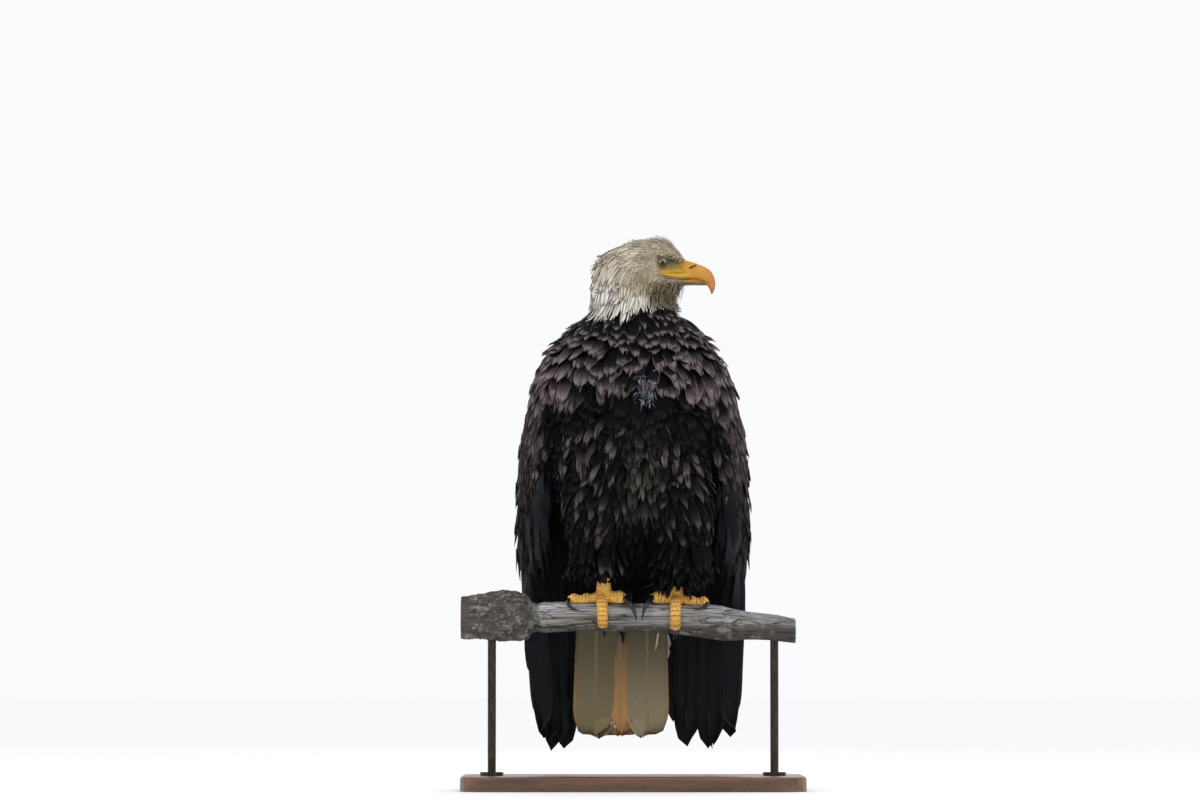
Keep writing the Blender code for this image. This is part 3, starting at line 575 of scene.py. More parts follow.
def make_coat(name, plan, templates, outline, material):
    """One joined mesh of vanes, each a closed lens with its own two UV maps and its colour."""
    rng = np.random.default_rng(len(plan["length"]))
    choice = rng.integers(0, len(templates), len(plan["length"]))
    points, loops, sizes, vane_uv, bake_uv, tints, offset = [], [], [], [], [], [], 0
    for index, template in enumerate(templates):
        chosen = np.flatnonzero(choice == index)
        if not len(chosen):
            continue
        shaped = shape_vanes(template, outline, plan, chosen)
        count, each = shaped.shape[:2]
        corners = np.concatenate(template["faces"])
        starts = offset + np.arange(count)[:, None] * each
        points.append(shaped.reshape(-1, 3))
        loops.append((starts + corners).ravel())
        sizes.append(np.tile([len(face) for face in template["faces"]], count))
        flat = np.stack([template["across"] / 2 + 0.5, template["along"]], 1)
        vane_uv.append(np.tile(flat[corners], (count, 1)))
        patch = (flat - 0.5) * 0.003
        bake_uv.append((plan["uv"][chosen][:, None] + patch[corners]).reshape(-1, 2))
        tints.append(np.repeat(plan["tint"][chosen], each, axis=0))
        offset += count * each
    loops, sizes = np.concatenate(loops), np.concatenate(sizes)
    mesh = bpy.data.meshes.new(name)
    mesh.vertices.add(offset)
    mesh.vertices.foreach_set("co", np.concatenate(points).astype(np.float32).ravel())
    mesh.loops.add(len(loops))
    mesh.loops.foreach_set("vertex_index", loops.astype(np.int32))
    mesh.polygons.add(len(sizes))
    mesh.polygons.foreach_set("loop_start", np.concatenate([[0], np.cumsum(sizes)[:-1]]).astype(np.int32))
    mesh.update(calc_edges=True)
    for layer, values in (("OFBake", bake_uv), ("Vane", vane_uv)):
        uv = mesh.uv_layers.new(name=layer)
        uv.data.foreach_set("uv", np.concatenate(values).astype(np.float32).ravel())
    colour_points(mesh, np.concatenate(tints))
    return add_piece(name, mesh, [material])


def sow(obj, spacing, keep, seed):
    """Spreads roots evenly over the skin where keep is true, spacing apart.

    Keep is a function of the points and their normals, and spacing is one too or a single distance.
    Returns the roots, their normals and their places on the skin's unwrap.
    """
    rng = np.random.default_rng(seed)
    surface = Surface(obj.data)
    corners = surface.points[surface.faces]
    cross = np.cross(corners[:, 1] - corners[:, 0], corners[:, 2] - corners[:, 0])
    area, facing = np.linalg.norm(cross, axis=1) / 2, unit(cross)
    centres = corners.mean(1)
    gaps = spacing(centres, facing) if callable(spacing) else np.full(len(centres), spacing)
    weight = np.where(keep(centres, facing), area / gaps**2, 0.0)
    wanted = int(weight.sum() * 5)
    pick = rng.choice(len(area), wanted, p=weight / weight.sum())
    shares = rng.random((wanted, 2))
    shares = np.where(shares.sum(1, keepdims=True) > 1, 1 - shares, shares)
    shares = np.column_stack([1 - shares.sum(1), shares])
    roots = np.einsum("nk,nkc->nc", shares, corners[pick])
    uv = np.einsum("nk,nkc->nc", shares, skin_map(obj)[surface.loops[pick]])
    tree = point_tree(roots)
    free = np.ones(wanted, bool)
    kept = []
    for k in range(wanted):
        if free[k]:
            kept.append(k)
            near = [found[1] for found in tree.find_range(roots[k], gaps[pick[k]])]
            free[near] = False
    kept = np.array(kept)
    kept = kept[np.argsort(-roots[kept, 2])]
    return roots[kept], facing[pick[kept]], uv[kept]


def make_plan(
    surface, roots, normals, uv, headings, length, width, lift, tint, seed, *,
    stray=0.08, spread=0.15, steps=3, droop=0.0, lie=None, sink=0.001, roll=0.10, bow=0.04,
    rise_power=0.9, thick=0.0004, camber=0.22,
):
    """The full plan of a coat: where each vane lies, how big it is and its colour.

    Stray, spread, roll and bow are how far the vanes differ in heading, length, tilt and bend.
    """
    rng = np.random.default_rng(seed)
    count = len(roots)
    headings = headings - normals * np.sum(headings * normals, 1, keepdims=True)
    headings = unit(unit(headings) + rng.normal(0, stray, (count, 3)))
    length = length * rng.uniform(1 - spread, 1 + spread, count)
    spines, facing = walk(surface, roots, headings, length, steps, droop, lie)
    return {
        "spines": spines,
        "normals": facing,
        "length": length,
        "width": width * rng.uniform(0.82, 1.15, count),
        "lift": lift * rng.uniform(0.6, 1.4, count),
        "sink": np.full(count, sink),
        "roll": rng.normal(0, roll, count),
        "bow": rng.normal(0, bow, count),
        "skew": np.zeros(count),
        "rise_power": rise_power,
        "thick": thick,
        "camber": camber,
        "uv": uv,
        "tint": tint,
    }


def only(chosen, *arrays):
    """The arrays' chosen rows."""
    return [array[chosen] for array in arrays]


def part_of(plan, chosen):
    """The plan of only the chosen vanes."""
    count = len(plan["length"])
    return {
        key: value[chosen] if isinstance(value, np.ndarray) and len(value) == count else value
        for key, value in plan.items()
    }


def gather(plan, reach, strength, seed):
    """Draws the vanes' tips together into pointed locks about twice the reach across."""
    roots = plan["spines"][:, 0]
    tree = point_tree(roots)
    free, leaders = np.ones(len(roots), bool), []
    for k in np.random.default_rng(seed).permutation(len(roots)):
        if free[k]:
            leaders.append(k)
            free[[found[1] for found in tree.find_range(roots[k], reach)]] = False
    leaders = np.array(leaders)
    heads = point_tree(roots[leaders])
    chief = leaders[[heads.find(root)[1] for root in roots]]
    along = np.linspace(0, 1, plan["spines"].shape[1])[None, :, None]
    offset = (roots - roots[chief])[:, None]
    target = plan["spines"][chief] + offset * 0.3
    share = np.broadcast_to(strength, len(roots))[:, None, None] * along**1.4
    plan["spines"] = plan["spines"] * (1 - share) + target * share
    return plan


# --- Markings ------------------------------------------------------------------------------

WHITE_EDGE = 0.710  # roots of the white hackles start above this height
PARTING_X = 0.018  # where the breast feathers part
BREAST_X = 0.005  # the middle of the breast
NECK_BASE = 0.655  # roots of the neck's slim feathers start above this height
BELLY_TOP = 0.50  # roots of the belly's slim feathers start below this height
COAT_BOTTOM = 0.285  # the lowest roots of the brown feathers
WING_COAT_BOTTOM = 0.405  # the lowest roots on the wings, above their long feathers
TAIL_X = -0.014  # the middle of the tail
TAIL_HALF_WIDTH = 0.062
TAIL_FRONT = 0.030  # the tail lies behind this Y


def white_edge(points):
    """Height where the white hackles' roots begin, uneven round the neck and higher at the throat."""
    turn = np.arctan2(points[:, 0], -points[:, 1])
    uneven = 0.0025 * np.sin(3 * turn + 0.4) + 0.002 * np.sin(7 * turn)
    return WHITE_EDGE + uneven + 0.003 * ramp(points[:, 0], 0.03, 0.07)


def is_white_head(points):
    return points[:, 2] > white_edge(points)


def in_tail_column(points):
    """True behind the legs, as far to each side as the tail reaches."""
    return (np.abs(points[:, 0] - TAIL_X) < TAIL_HALF_WIDTH) & (points[:, 1] > TAIL_FRONT)


def is_tail(points):
    return (points[:, 2] < 0.280) & in_tail_column(points)


def frontness(normals):
    """1 where the surface faces the front, 0 where it faces the back."""
    return ramp(-normals[:, 1], -0.1, 0.4)


def blob(x, z, centre_x, centre_z, wide, high):
    """1 at a place on the bird's front, fading out over a width and a height."""
    return np.exp(-(((x - centre_x) / wide) ** 2) - ((z - centre_z) / high) ** 2)


def white_tint(points, rng):
    """Cream on the crown, whiter down the neck, olive brown at the chin and behind the gape."""
    local = in_head(points)
    x, _, z = local.T
    cream, cheek, white, chin, olive = palette("CABFAA", "BEAF8E", "E4E1DB", "8C7D5F", "8C8266")
    tint = mix(cream, white, 0.85 * ramp(z + 0.4 * x, 0.014, -0.040))
    tint = mix(tint, cheek, blob(x, z, 0.020, -0.020, 0.030, 0.016))
    tint = mix(tint, olive, 0.7 * blob(x, z, 0.030, -0.030, 0.014, 0.010))
    tint = mix(tint, olive, 0.6 * blob(x, z, 0.024, 0.006, 0.012, 0.004))
    tint = mix(tint, chin, ramp(x, 0.030, 0.058) * ramp(z, -0.020, -0.032))
    tint = mix(tint, linear("B79C80"), 0.6 * blob(x, z, 0.066, 0.016, 0.014, 0.010))
    strands = 0.74 + 0.46 * rng.random(len(points)) ** 1.2
    # Lighter and darker locks: painted light and shade on the strands gathered into locks.
    locks = 1 + 0.35 * waves(local * (0.6, 1.0, 0.6), 0.0080, 5.0)
    return tint * (strands * locks)[:, None]


def brown_tint(points, normals, region, rng):
    """Slate on the neck, warm brown on the shoulders and pads, near black below with odd paler tips; the near
    black is partly painted shade under the pads.
    """
    x, _, z = points.T
    front = frontness(normals)
    slate, umber, taupe, tan, ink_and_shade, soot = palette("17171B", "332D30", "4E4648", "615657", "07090D", "101115")
    tint = mix(slate, umber, ramp(x, 0.020, 0.050) * front)
    tint = mix(tint, linear("352E2C"), 1 - front)
    shoulder = ramp(z, 0.680, 0.655) * ramp(np.abs(x - BREAST_X), 0.030, 0.055)
    tint = mix(tint, taupe, shoulder)
    tint = mix(tint, tan, 0.8 * shoulder * ramp(x, -0.055, -0.095) * ramp(z, 0.560, 0.600))
    tint = mix(tint, tan, 0.9 * shoulder * ramp(x, 0.045, 0.070) * ramp(z, 0.565, 0.600))
    tint = mix(tint, umber, 0.6 * ramp(z, 0.665, 0.640) * (1 - shoulder) * front)
    # Lighter and darker clumps over the front: uneven tone, and painted light and shade on the clumped
    # feathers.
    tint = tint * (1 + 0.5 * waves(points, 0.026, 11.0) * front)[:, None]
    # Below the pads the coat turns near black: the belly's own dark brown, with painted shade under the pads'
    # overhang.
    parted = stripe(x - PARTING_X, 0.026)
    pad_root = np.where(x < 0.0, 0.600, 0.594) + 0.034 * parted - 0.06 * (1 - front)
    low = ramp(z, pad_root + 0.004, pad_root - 0.006 - 0.030 * (1 - front))
    wing = region == "wing"
    below = np.where(wing, ramp(z, 0.56, 0.44), low)
    tint = mix(tint, mix(ink_and_shade, soot, 1 - front), below)
    chance = np.interp(z, [0.31, 0.40, 0.50, 0.545, 0.560, 0.60], [0.02, 0.09, 0.16, 0.17, 0.02, 0.0])
    chance = chance * (1 + 1.3 * waves(points, 0.035, 2.0)) * front
    lit = (rng.random(len(points)) < chance) & (np.abs(x - PARTING_X) > 0.020)
    pale = mix(linear("5E5558"), linear("252327"), ramp(z, 0.55, 0.41))
    pale = pale * rng.uniform(0.5, 1.1, len(points))[:, None]
    tint = np.where(lit[:, None], mix(tint, pale, 0.9), tint)
    matted = blob(x, z, PARTING_X - 0.004, 0.490, 0.014, 0.046) * front
    tint = mix(tint, linear("5A5C52"), 0.9 * matted)
    return tint * rng.uniform(0.68, 1.3, len(points))[:, None], lit


def with_rim(tint, rim):
    return np.column_stack([tint, np.broadcast_to(rim, len(tint))])


def skin_colours(points):
    """The colour of the skin and down under the coat, in the same places as the coat's markings; near black
    under the brown, as painted shade in the gaps between feathers.
    """
    white, brown = palette("857C6A", "08080A")
    share = ramp(points[:, 2] - white_edge(points), -0.002, 0.008)
    share = np.maximum(share, is_tail(points) & (np.abs(points[:, 0] - TAIL_X) < 0.044))
    return mix(np.broadcast_to(brown, points.shape), np.broadcast_to(white, points.shape), share)


# --- Skin ----------------------------------------------------------------------------------


def skin_depth(points, normals, region):
    """How deep the skin lies under the feathers' outer form."""
    x, _, z = points.T
    front = ramp(-normals[:, 1], 0.2, 0.7)
    depth = np.full(len(points), 0.0095)
    depth -= 0.0080 * ramp(z, 0.500, 0.560) * ramp(z, 0.700, 0.670) * ramp(np.abs(x - BREAST_X), 0.050, 0.090)
    parting = stripe(x - PARTING_X, 0.020) * front
    depth += 0.014 * parting * ramp(z, 0.62, 0.57) * ramp(z, 0.30, 0.40)
    pads = blob(np.abs(x - BREAST_X), z, 0.082, 0.605, 0.040, 0.028)
    depth -= 0.003 * pads * front
    under = blob(np.abs(x - BREAST_X), z, 0.070, 0.552, 0.045, 0.018)
    depth += 0.012 * under * front
    depth = np.where(region == "wing", mix(0.0060, 0.0042, ramp(z, 0.56, 0.46)), depth)
    throat = (z > 0.690) & (in_head(points)[:, 0] > 0.03)
    depth = np.where(z > 0.70, 0.011, depth)
    return np.where(throat, 0.016, depth)


def body_skin(voxel):
    """The body under its feathers, sunk by at most a share of its thickness so that it stays whole."""
    mesh = remeshed(cad_mesh(FLESH, 0.0006), voxel)
    smoothed(mesh, 2)
    surface = Surface(mesh)
    points, normals = mesh_points(mesh), mesh_normals(mesh)
    room = np.array([surface.thickness(p, n) for p, n in zip(points, normals)])
    region = region_tree()(points)
    depth = np.minimum(skin_depth(points, normals, region), np.where(region == "tail", 0.42, 0.30) * room)
    set_points(mesh, points - normals * depth[:, None])
    return smoothed(mesh, 4)


def brow_line(x):
    """Height of the brow's overhanging edge along the head, in the head's own frame."""
    return np.interp(
        x, [0.030, 0.037, 0.046, 0.056, 0.066, 0.075], [0.0120, 0.0142, 0.0142, 0.0118, 0.0076, 0.0036]
    )


def bare_face(local, soft=1.0):
    """1 on the bare skin round the eye and between it and the bill, 0 on the feathered face."""
    x, _, z = local.T
    back = np.interp(z, [-0.016, -0.007, 0.000, 0.008, 0.0135], [0.0405, 0.0385, 0.0362, 0.0352, 0.0372])
    floor = np.interp(x, [0.036, 0.050, 0.080], [-0.0155, -0.0175, -0.0185])
    under_brow = ramp(brow_line(x) - z, -0.0002, 0.0012)
    behind = ramp(x - back, -0.0006 * soft, 0.0012 * soft)
    return under_brow * behind * ramp(z - floor, -0.0006, 0.0008) * ramp(x, 0.096, 0.092)


def lid_fold(local):
    """A fold that slants down forwards above the eye, with a painted highlight along it."""
    x, _, z = local.T
    line = np.interp(x, [0.040, 0.046, 0.0565], [0.0095, 0.0098, 0.0068])
    return stripe(z - line, 0.0009) * ramp(x, 0.042, 0.046) * ramp(x, 0.060, 0.055)


def head_skin(voxel):
    """The head under its feathers: the brow's shelf, the hollow before the eye, the fold of the lid."""
    mesh = smoothed(remeshed(cad_mesh(["head"]), voxel), 3)
    points, normals = mesh_points(mesh), mesh_normals(mesh)
    local = in_head(points)
    x, _, z = local.T
    depth = 0.0012 + 0.0065 * ramp(x, 0.045, -0.030)
    depth += 0.0015 * ramp(z, 0.0, -0.05) * ramp(x, 0.06, 0.0)
    sideways = ramp(np.abs(normals @ np.array(ACROSS)), 0.25, 0.7)
    above = z - brow_line(x)
    along_brow = ramp(x, 0.031, 0.040) * ramp(x, 0.079, 0.068) * sideways
    shelf = ramp(above, -0.0008, 0.0012) * ramp(above, 0.0120, 0.0020)
    hollow = ramp(above, 0.0002, -0.0016) * ramp(z, -0.006, 0.000) * ramp(x, 0.049, 0.055)
    depth -= (0.0030 * shelf - 0.0010 * hollow) * along_brow
    depth -= 0.0007 * lid_fold(local) * sideways
    depth -= 0.0024 * ramp(z, -0.0085, -0.0130) * ramp(z, -0.0210, -0.0180) * ramp(x, 0.037, 0.041)
    creases = np.abs(waves(local * (1.0, 1.0, 2.2), 0.0040, 7.0)) * 0.0009
    depth += creases * bare_face(local)
    set_points(mesh, points - normals * depth[:, None])
    return smoothed(mesh, 1, 0.3)


def face_colours(points):
    local = in_head(points)
    x, _, z = local.T
    down, dark, olive, mustard, yellow, brown, fold, cere = palette(
        "9A8C70", "262419", "5E5638", "94803A", "C59A2E", "4F4430", "A39676", "C6962C"
    )
    bare = mix(olive, mustard, ramp(z, 0.001, -0.006))
    bare = mix(bare, yellow, ramp(z, -0.0065, -0.0115))
    # Painted shadow in the hollow under the brow, before the eye.
    bare = mix(bare, dark, 0.95 * blob(x, z, 0.0570, 0.0050, 0.0080, 0.0036))
    # Painted shadow along the brow's edge.
    bare = mix(bare, dark, 0.8 * stripe(brow_line(x) - z, 0.0018))
    bare = mix(bare, brown, 0.85 * blob(x, z, 0.0420, -0.0075, 0.0085, 0.0048))
    # Painted shade under the brow's ridge, above the back of the eye.
    bare = mix(bare, brown, 0.7 * blob(x, z, 0.0400, 0.0115, 0.0090, 0.0022))
    # A painted highlight along the lid's fold.
    bare = mix(bare, fold, 0.9 * lid_fold(local))
    bare = mix(bare, cere, ramp(x, 0.066, 0.076) * ramp(z, 0.006, -0.002))
    streaks = waves(local * (0.5, 1.0, 1.6), 0.0032, 3.0)
    bare = mix(bare, olive, 0.5 * ramp(streaks, 0.15, 0.5) * ramp(z, 0.002, -0.004))
    return mix(np.broadcast_to(down, points.shape), bare, bare_face(local, 4.0))


TOE_TOP = 0.029  # from the branch's axis to the tops of the toes
SCUTE = 0.0062  # length of one broad scale along the middle toe and the shank
SIDE_SCUTE = 0.0046  # the same on the toes that spread along the branch


def round_branch(points):
    """Degrees round the branch, from its front up to its top."""
    return np.degrees(np.arctan2(points[:, 2] - PERCH_Z, -(points[:, 1] - PERCH_Y)))


def scute_height(points, foot_x):
    """Relief of the foot's scales: broad bands along the toes' tops, pebbles elsewhere."""
    x, _, z = points.T
    angle = round_branch(points)
    from_top = np.radians(90 - angle) * TOE_TOP
    middle_toe = (np.abs(x - foot_x) < 0.0075) & (angle < 62)
    side_toe = np.abs(x - foot_x) > 0.0125
    shank = (z > 0.292) & (np.abs(x - foot_x) < 0.02)
    band = np.where(middle_toe, from_top / SCUTE, np.where(side_toe, x / SIDE_SCUTE, z / SCUTE))
    saw = band - np.floor(band)
    ridge = np.sin(np.pi * saw) ** 0.35
    pebbles = waves(points, 0.0022, 3.0) * 0.35
    return np.where(middle_toe | side_toe | shank, ridge - 0.7, pebbles)


def foot_skin(side, voxel):
    mesh = refined([f"foot_{side}", f"shank_{side}"], voxel, 5)
    points, normals = mesh_points(mesh), mesh_normals(mesh)
    foot_x = middle(f"claw_{side}_middle").x
    x, _, z = points.T
    front_toe = (np.abs(x - foot_x) < 0.0085) & (round_branch(points) < 66)
    relief = scute_height(points, foot_x) * np.where(front_toe, 0.0022, 0.0011)
    along = np.abs(x - foot_x)
    knuckles = 0.0013 * np.sin((along - 0.020) / 0.0175 * 2 * np.pi) * ramp(along, 0.014, 0.020)
    relief = relief + np.where(z < 0.292, knuckles, 0.0)
    outward = ramp(np.linalg.norm(points[:, 1:] - (PERCH_Y, PERCH_Z), axis=1), 0.0225, 0.0265)
    set_points(mesh, points + normals * (relief * outward)[:, None])
    return smoothed(mesh, 1, 0.2)


def foot_colours(side, points):
    """Orange yellow, with painted shade in the grooves between the scales and under the toes."""
    yellow, deep, pale = palette("F2B652", "7C4815", "F8D07C")
    relief = scute_height(points, middle(f"claw_{side}_middle").x)
    tint = mix(np.broadcast_to(yellow, points.shape), deep, 0.9 * ramp(relief, -0.02, -0.35))
    tint = mix(tint, pale, 0.5 * ramp(relief, 0.10, 0.30))
    return mix(tint, deep, 0.5 * ramp(points[:, 2], 0.262, 0.236))


def join_meshes(meshes):
    """One mesh of several, keeping each one's material index and its tint."""
    bm = bmesh.new()
    for index, (mesh, colours) in enumerate(meshes):
        colour_points(mesh, colours)
        mesh.polygons.foreach_set("material_index", np.full(len(mesh.polygons), index, np.int32))
        bm.from_mesh(mesh)
    for mesh, _ in meshes:
        bpy.data.meshes.remove(mesh)
    return mesh_of(bm)


def make_skin():
    """The whole bird's skin in one piece: body, a finer head, and finer legs and feet."""
    body, head = body_skin(0.0070), head_skin(0.0012)
    feet = {side: foot_skin(side, 0.0012) for side in SIDES}
    parts = [(body, skin_colours(mesh_points(body))), (head, face_colours(mesh_points(head)))]
    parts += [(mesh, foot_colours(side, mesh_points(mesh))) for side, mesh in feet.items()]
    # Down and skin under the coat: dull and fibrous, and dark as painted shade between the feathers.
    down = mottled_material(
        "down_skin_and_shade", 0.9, [((0.0024,) * 3, 3.0, 0.35, 0.75, "040405", 0.5)], (0, 0.5, 0.0006)
    )
    # Bare facial skin: soft, finely wrinkled, faintly oily.
    face = mottled_material(
        "facial_skin", 0.5,
        [
            ((0.0011,) * 3, 3.0, 0.45, 0.75, "3A331F", 0.35),
            ((0.0035, 0.0035, 0.0014), 2.0, 0.5, 0.8, "B59F62", 0.25),
        ],
        (1, 0.6, 0.0005), Subsurface_Weight=0.06, Subsurface_Scale=0.002,
    )
    # Bare foot skin: satin scales, with painted shade in the grooves and paler tops.
    scales = mottled_material(
        "scaled_foot_skin", 0.42,
        [((0.0016,) * 3, 2.0, 0.50, 0.75, "B0762A", 0.45), ((0.0080,) * 3, 3.0, 0.50, 0.80, "E9C070", 0.35)],
        (0, 0.35, 0.0004), Subsurface_Weight=0.08, Subsurface_Scale=0.003,
    )
    legs = [f"{bone}_{side}" for bone in ("foot", "shank") for side in SIDES]
    obj = add_piece(
        "skin", join_meshes(parts), [down, face, scales, scales], (*FLESH, *legs)
    )
    unwrap(obj)
    return obj


# --- Head coat -----------------------------------------------------------------------------


def head_lie(points):
    """The way the head's feathers point: back from the bill, curving down the neck, down at the chin."""
    x, _, z = in_head(points).T
    turn = 8 + 62 * ramp(x, 0.020, -0.052) + 52 * ramp(z, 0.000, -0.034) * ramp(x, -0.050, 0.010)
    turn = turn + 20 * ramp(z, 0.012, -0.010) * ramp(x, 0.035, 0.010)
    turn = np.minimum(turn, 82) + 28 * ramp(x, 0.040, 0.068) * ramp(z, -0.024, -0.034)
    turn = np.radians(turn)[:, None]
    return unit(-np.cos(turn) * np.array(FORWARD) - np.sin(turn) * np.array(UP))


def face_scale(local):
    """0 at the bill and round the eye, 1 on the nape: how far the feathers have grown to full size."""
    eye = np.linalg.norm((local - (EYE_FORWARD, 0, 0))[:, [0, 2]] / (1.25, 1.0), axis=1)
    bill = 0.080 - local[:, 0]
    crown = 1 - 0.35 * ramp(local[:, 2], 0.010, 0.030) * ramp(local[:, 0], -0.030, 0.010)
    return np.clip(np.minimum(ramp(eye, 0.006, 0.048), ramp(bill, 0.0, 0.090)) * crown, 0.0, 1.0)


def make_head_coat(settings):
    """White hackles: tiny and close on the face, long loose strands down the neck, bristles at the chin."""
    skin = bpy.data.objects["skin"]
    surface = Surface(skin.data)
    bill = Surface(cad_mesh(["bill_lower", "bill_upper", "cere"]))

    def spacing(points, normals):
        return 0.0014 + 0.0021 * face_scale(in_head(points))

    def keep(points, normals):
        return is_white_head(points) & (bare_face(in_head(points)) < 0.35) & (normals[:, 2] > -0.985)

    roots, normals, uv = sow(skin, spacing, keep, 12)
    clear = np.array([bill.nearest(Vector(root))[2] > 0.0011 for root in roots])
    roots, normals, uv = only(clear, roots, normals, uv)
    rng = np.random.default_rng(11)
    x, _, z = in_head(roots).T
    grown = face_scale(in_head(roots))
    chin = ramp(x, 0.020, 0.050) * ramp(z, -0.020, -0.030)
    raised = (rng.random(len(roots)) < 0.45) * ramp(z, 0.018, 0.028) * ramp(x, 0.004, 0.024)
    raised = raised * ramp(z, 0.037, 0.030)
    hind_crown = blob(x, z, -0.034, 0.025, 0.020, 0.013)
    length = mix(0.0068, settings.hackle_length, grown**0.9)
    length = mix(length, 0.013, chin * (1 - 0.6 * grown)) + 0.003 * raised + 0.004 * hind_crown
    length += 0.012 * ramp(z, -0.030, -0.048) * (1 - 0.75 * grown)
    width = mix(0.0016, settings.hackle_width, grown) * (1 - 0.35 * chin) * (1 - 0.3 * raised)
    lift = mix(0.0009, 0.0040, grown) + 0.0036 * chin + 0.0028 * raised + 0.0085 * hind_crown
    lift += 0.0030 * ramp(z, -0.030, -0.045) * ramp(x, -0.050, -0.020)
    lift += 0.0030 * ramp(x, 0.035, 0.055) * ramp(z, 0.018, 0.026) * ramp(z, 0.036, 0.030)
    tipped = ramp(waves(in_head(roots), 0.0090, 21.0), -0.05, 0.25) * ramp(z, -0.022, -0.045)
    tint = with_rim(white_tint(roots, rng), mix(0.35, 1.0, tipped))
    plan = make_plan(
        surface, roots, normals, uv, head_lie(roots), length, width, lift, tint, 13,
        droop=0.04, stray=0.08, roll=0.22, bow=0.05, camber=0.14, sink=0.0006, rise_power=1.2,
        steps=5, lie=head_lie, spread=0.25, thick=0.0003,
    )
    gather(plan, 0.0125, 0.85 * grown, 14)
    # White hackles: silky matt strands, greyer at the root, the grey also painted shade in the gaps between
    # strands.
    material = feather_material(
        "white_hackle_keratin", "8A806B", "B5AA92", "E2DFD8", barbs=26.0, roughness=0.62,
        root_from=0.0, root_to=0.50, streak=0.30, gloss=0.2, rim_side=0.70, rim_tip=0.70,
    )
    small = vane_templates(2, 4, 0.03, 3)
    slim = vane_templates(2, 8, 0.04, 4)
    strands = grown > 0.40
    make_coat("coat_face", part_of(plan, ~strands), small, LANCE_OUTLINE, material)
    make_coat("coat_hackles", part_of(plan, strands), slim, HACKLE_OUTLINE, material)
    make_chin_bristles(skin, surface, bill)


def make_chin_bristles(skin, surface, bill):
    """Stiff olive bristles that hang from the chin and the throat."""

    def keep(points, normals):
        x, _, z = in_head(points).T
        return (x > 0.030) & (z < -0.0255) & is_white_head(points)

    roots, normals, uv = sow(skin, 0.0021, keep, 16)
    clear = np.array([bill.nearest(Vector(root))[2] > 0.0006 for root in roots])
    roots, normals, uv = only(clear, roots, normals, uv)
    rng = np.random.default_rng(17)
    x = in_head(roots)[:, 0]
    dark, pale = palette("5E5138", "A89B7F")
    tint = mix(dark, pale, rng.random(len(roots)) ** 1.5 * 0.9)
    length = mix(0.026, 0.021, ramp(x, 0.035, 0.060))
    plan = make_plan(
        surface, roots, normals, uv, head_lie(roots), length, 0.0015, 0.0115, with_rim(tint, 0.2), 18,
        droop=0.10, stray=0.22, roll=0.5, bow=0.10, sink=0.0, rise_power=1.0, spread=0.35, thick=0.0003,
    )
    # Chin bristles: stiff and dull, dark at the root.
    material = feather_material(
        "chin_bristle_keratin", "3A3020", "A3967A", "B5AA90", barbs=12.0, roughness=0.62,
        root_from=0.0, root_to=0.6, streak=0.3, gloss=0.2, rim_side=0.6, rim_tip=0.8,
    )
    make_coat("coat_chin", plan, vane_templates(2, 4, 0.0, 2), LANCE_OUTLINE, material)


# --- Body coat -----------------------------------------------------------------------------


def region_tree():
    """Makes a function that names the flesh part which each point is nearest to."""
    points, faces, owners, offset = [], [], [], 0
    for node in FLESH:
        surface = Surface(cad_mesh([node]))
        points.append(surface.points)
        faces.append(surface.faces + offset)
        owners += [node] * len(surface.faces)
        offset += len(surface.points)
    tree = BVHTree.FromPolygons(np.concatenate(points).tolist(), np.concatenate(faces).tolist())

    def region_of(places):
        return np.array([owners[tree.find_nearest(Vector(p))[2]].split("_")[0] for p in places])

    return region_of


def on_foot(points):
    """True on the bare legs and feet, which grow no feathers."""
    near = np.min([np.abs(points[:, 0] - middle(f"foot_{side}").x) for side in SIDES], axis=0)
    return (points[:, 2] < 0.312) & (near < 0.055) & (points[:, 1] < 0.0)


def body_lie(points):
    """Down the body, outwards from the parting, in again over the legs and back along the flanks."""
    x, y, z = points.T
    lie = np.zeros_like(points)
    lie[:, 2] = -1.0
    front = ramp(y, 0.0, -0.06)
    lie[:, 0] = 0.30 * np.tanh((x - PARTING_X) / 0.03) * front * ramp(z, 0.66, 0.58)
    lie[:, 0] += 0.20 * np.sign(x) * ramp(z, 0.47, 0.41) * ramp(np.abs(x), 0.070, 0.090) * front
    lie[:, 1] = 0.10 * ramp(np.abs(x), 0.10, 0.15)
    return lie


def body_roots(skin):
    """The brown feathers' roots, with their normals, their places on the unwrap and their flesh parts."""

    def spacing(points, normals):
        gap = 0.0066 + 0.0058 * ramp(points[:, 2], 0.68, 0.65) * ramp(points[:, 2], 0.545, 0.575)
        gap += 0.0030 * ramp(np.abs(points[:, 0]), 0.11, 0.13) * ramp(points[:, 2], 0.56, 0.50)
        return gap + 0.0014 * ramp(normals[:, 1], 0.0, 0.6)

    def keep(points, normals):
        under_head = points[:, 2] < white_edge(points) - 0.001
        return under_head & ~is_tail(points) & (points[:, 2] > COAT_BOTTOM)

    roots, normals, uv = sow(skin, spacing, keep, 22)
    region = region_tree()(roots)
    x, y, z = roots.T
    parted = (np.abs(x - PARTING_X) < 0.010) & (np.abs(z - 0.600) < 0.018) & (y < 0)
    lowest = np.select([region == "tail", region == "wing"], [COAT_BOTTOM, WING_COAT_BOTTOM], 0.0)
    return only(~parted & ~on_foot(roots) & (z > lowest), roots, normals, uv, region)


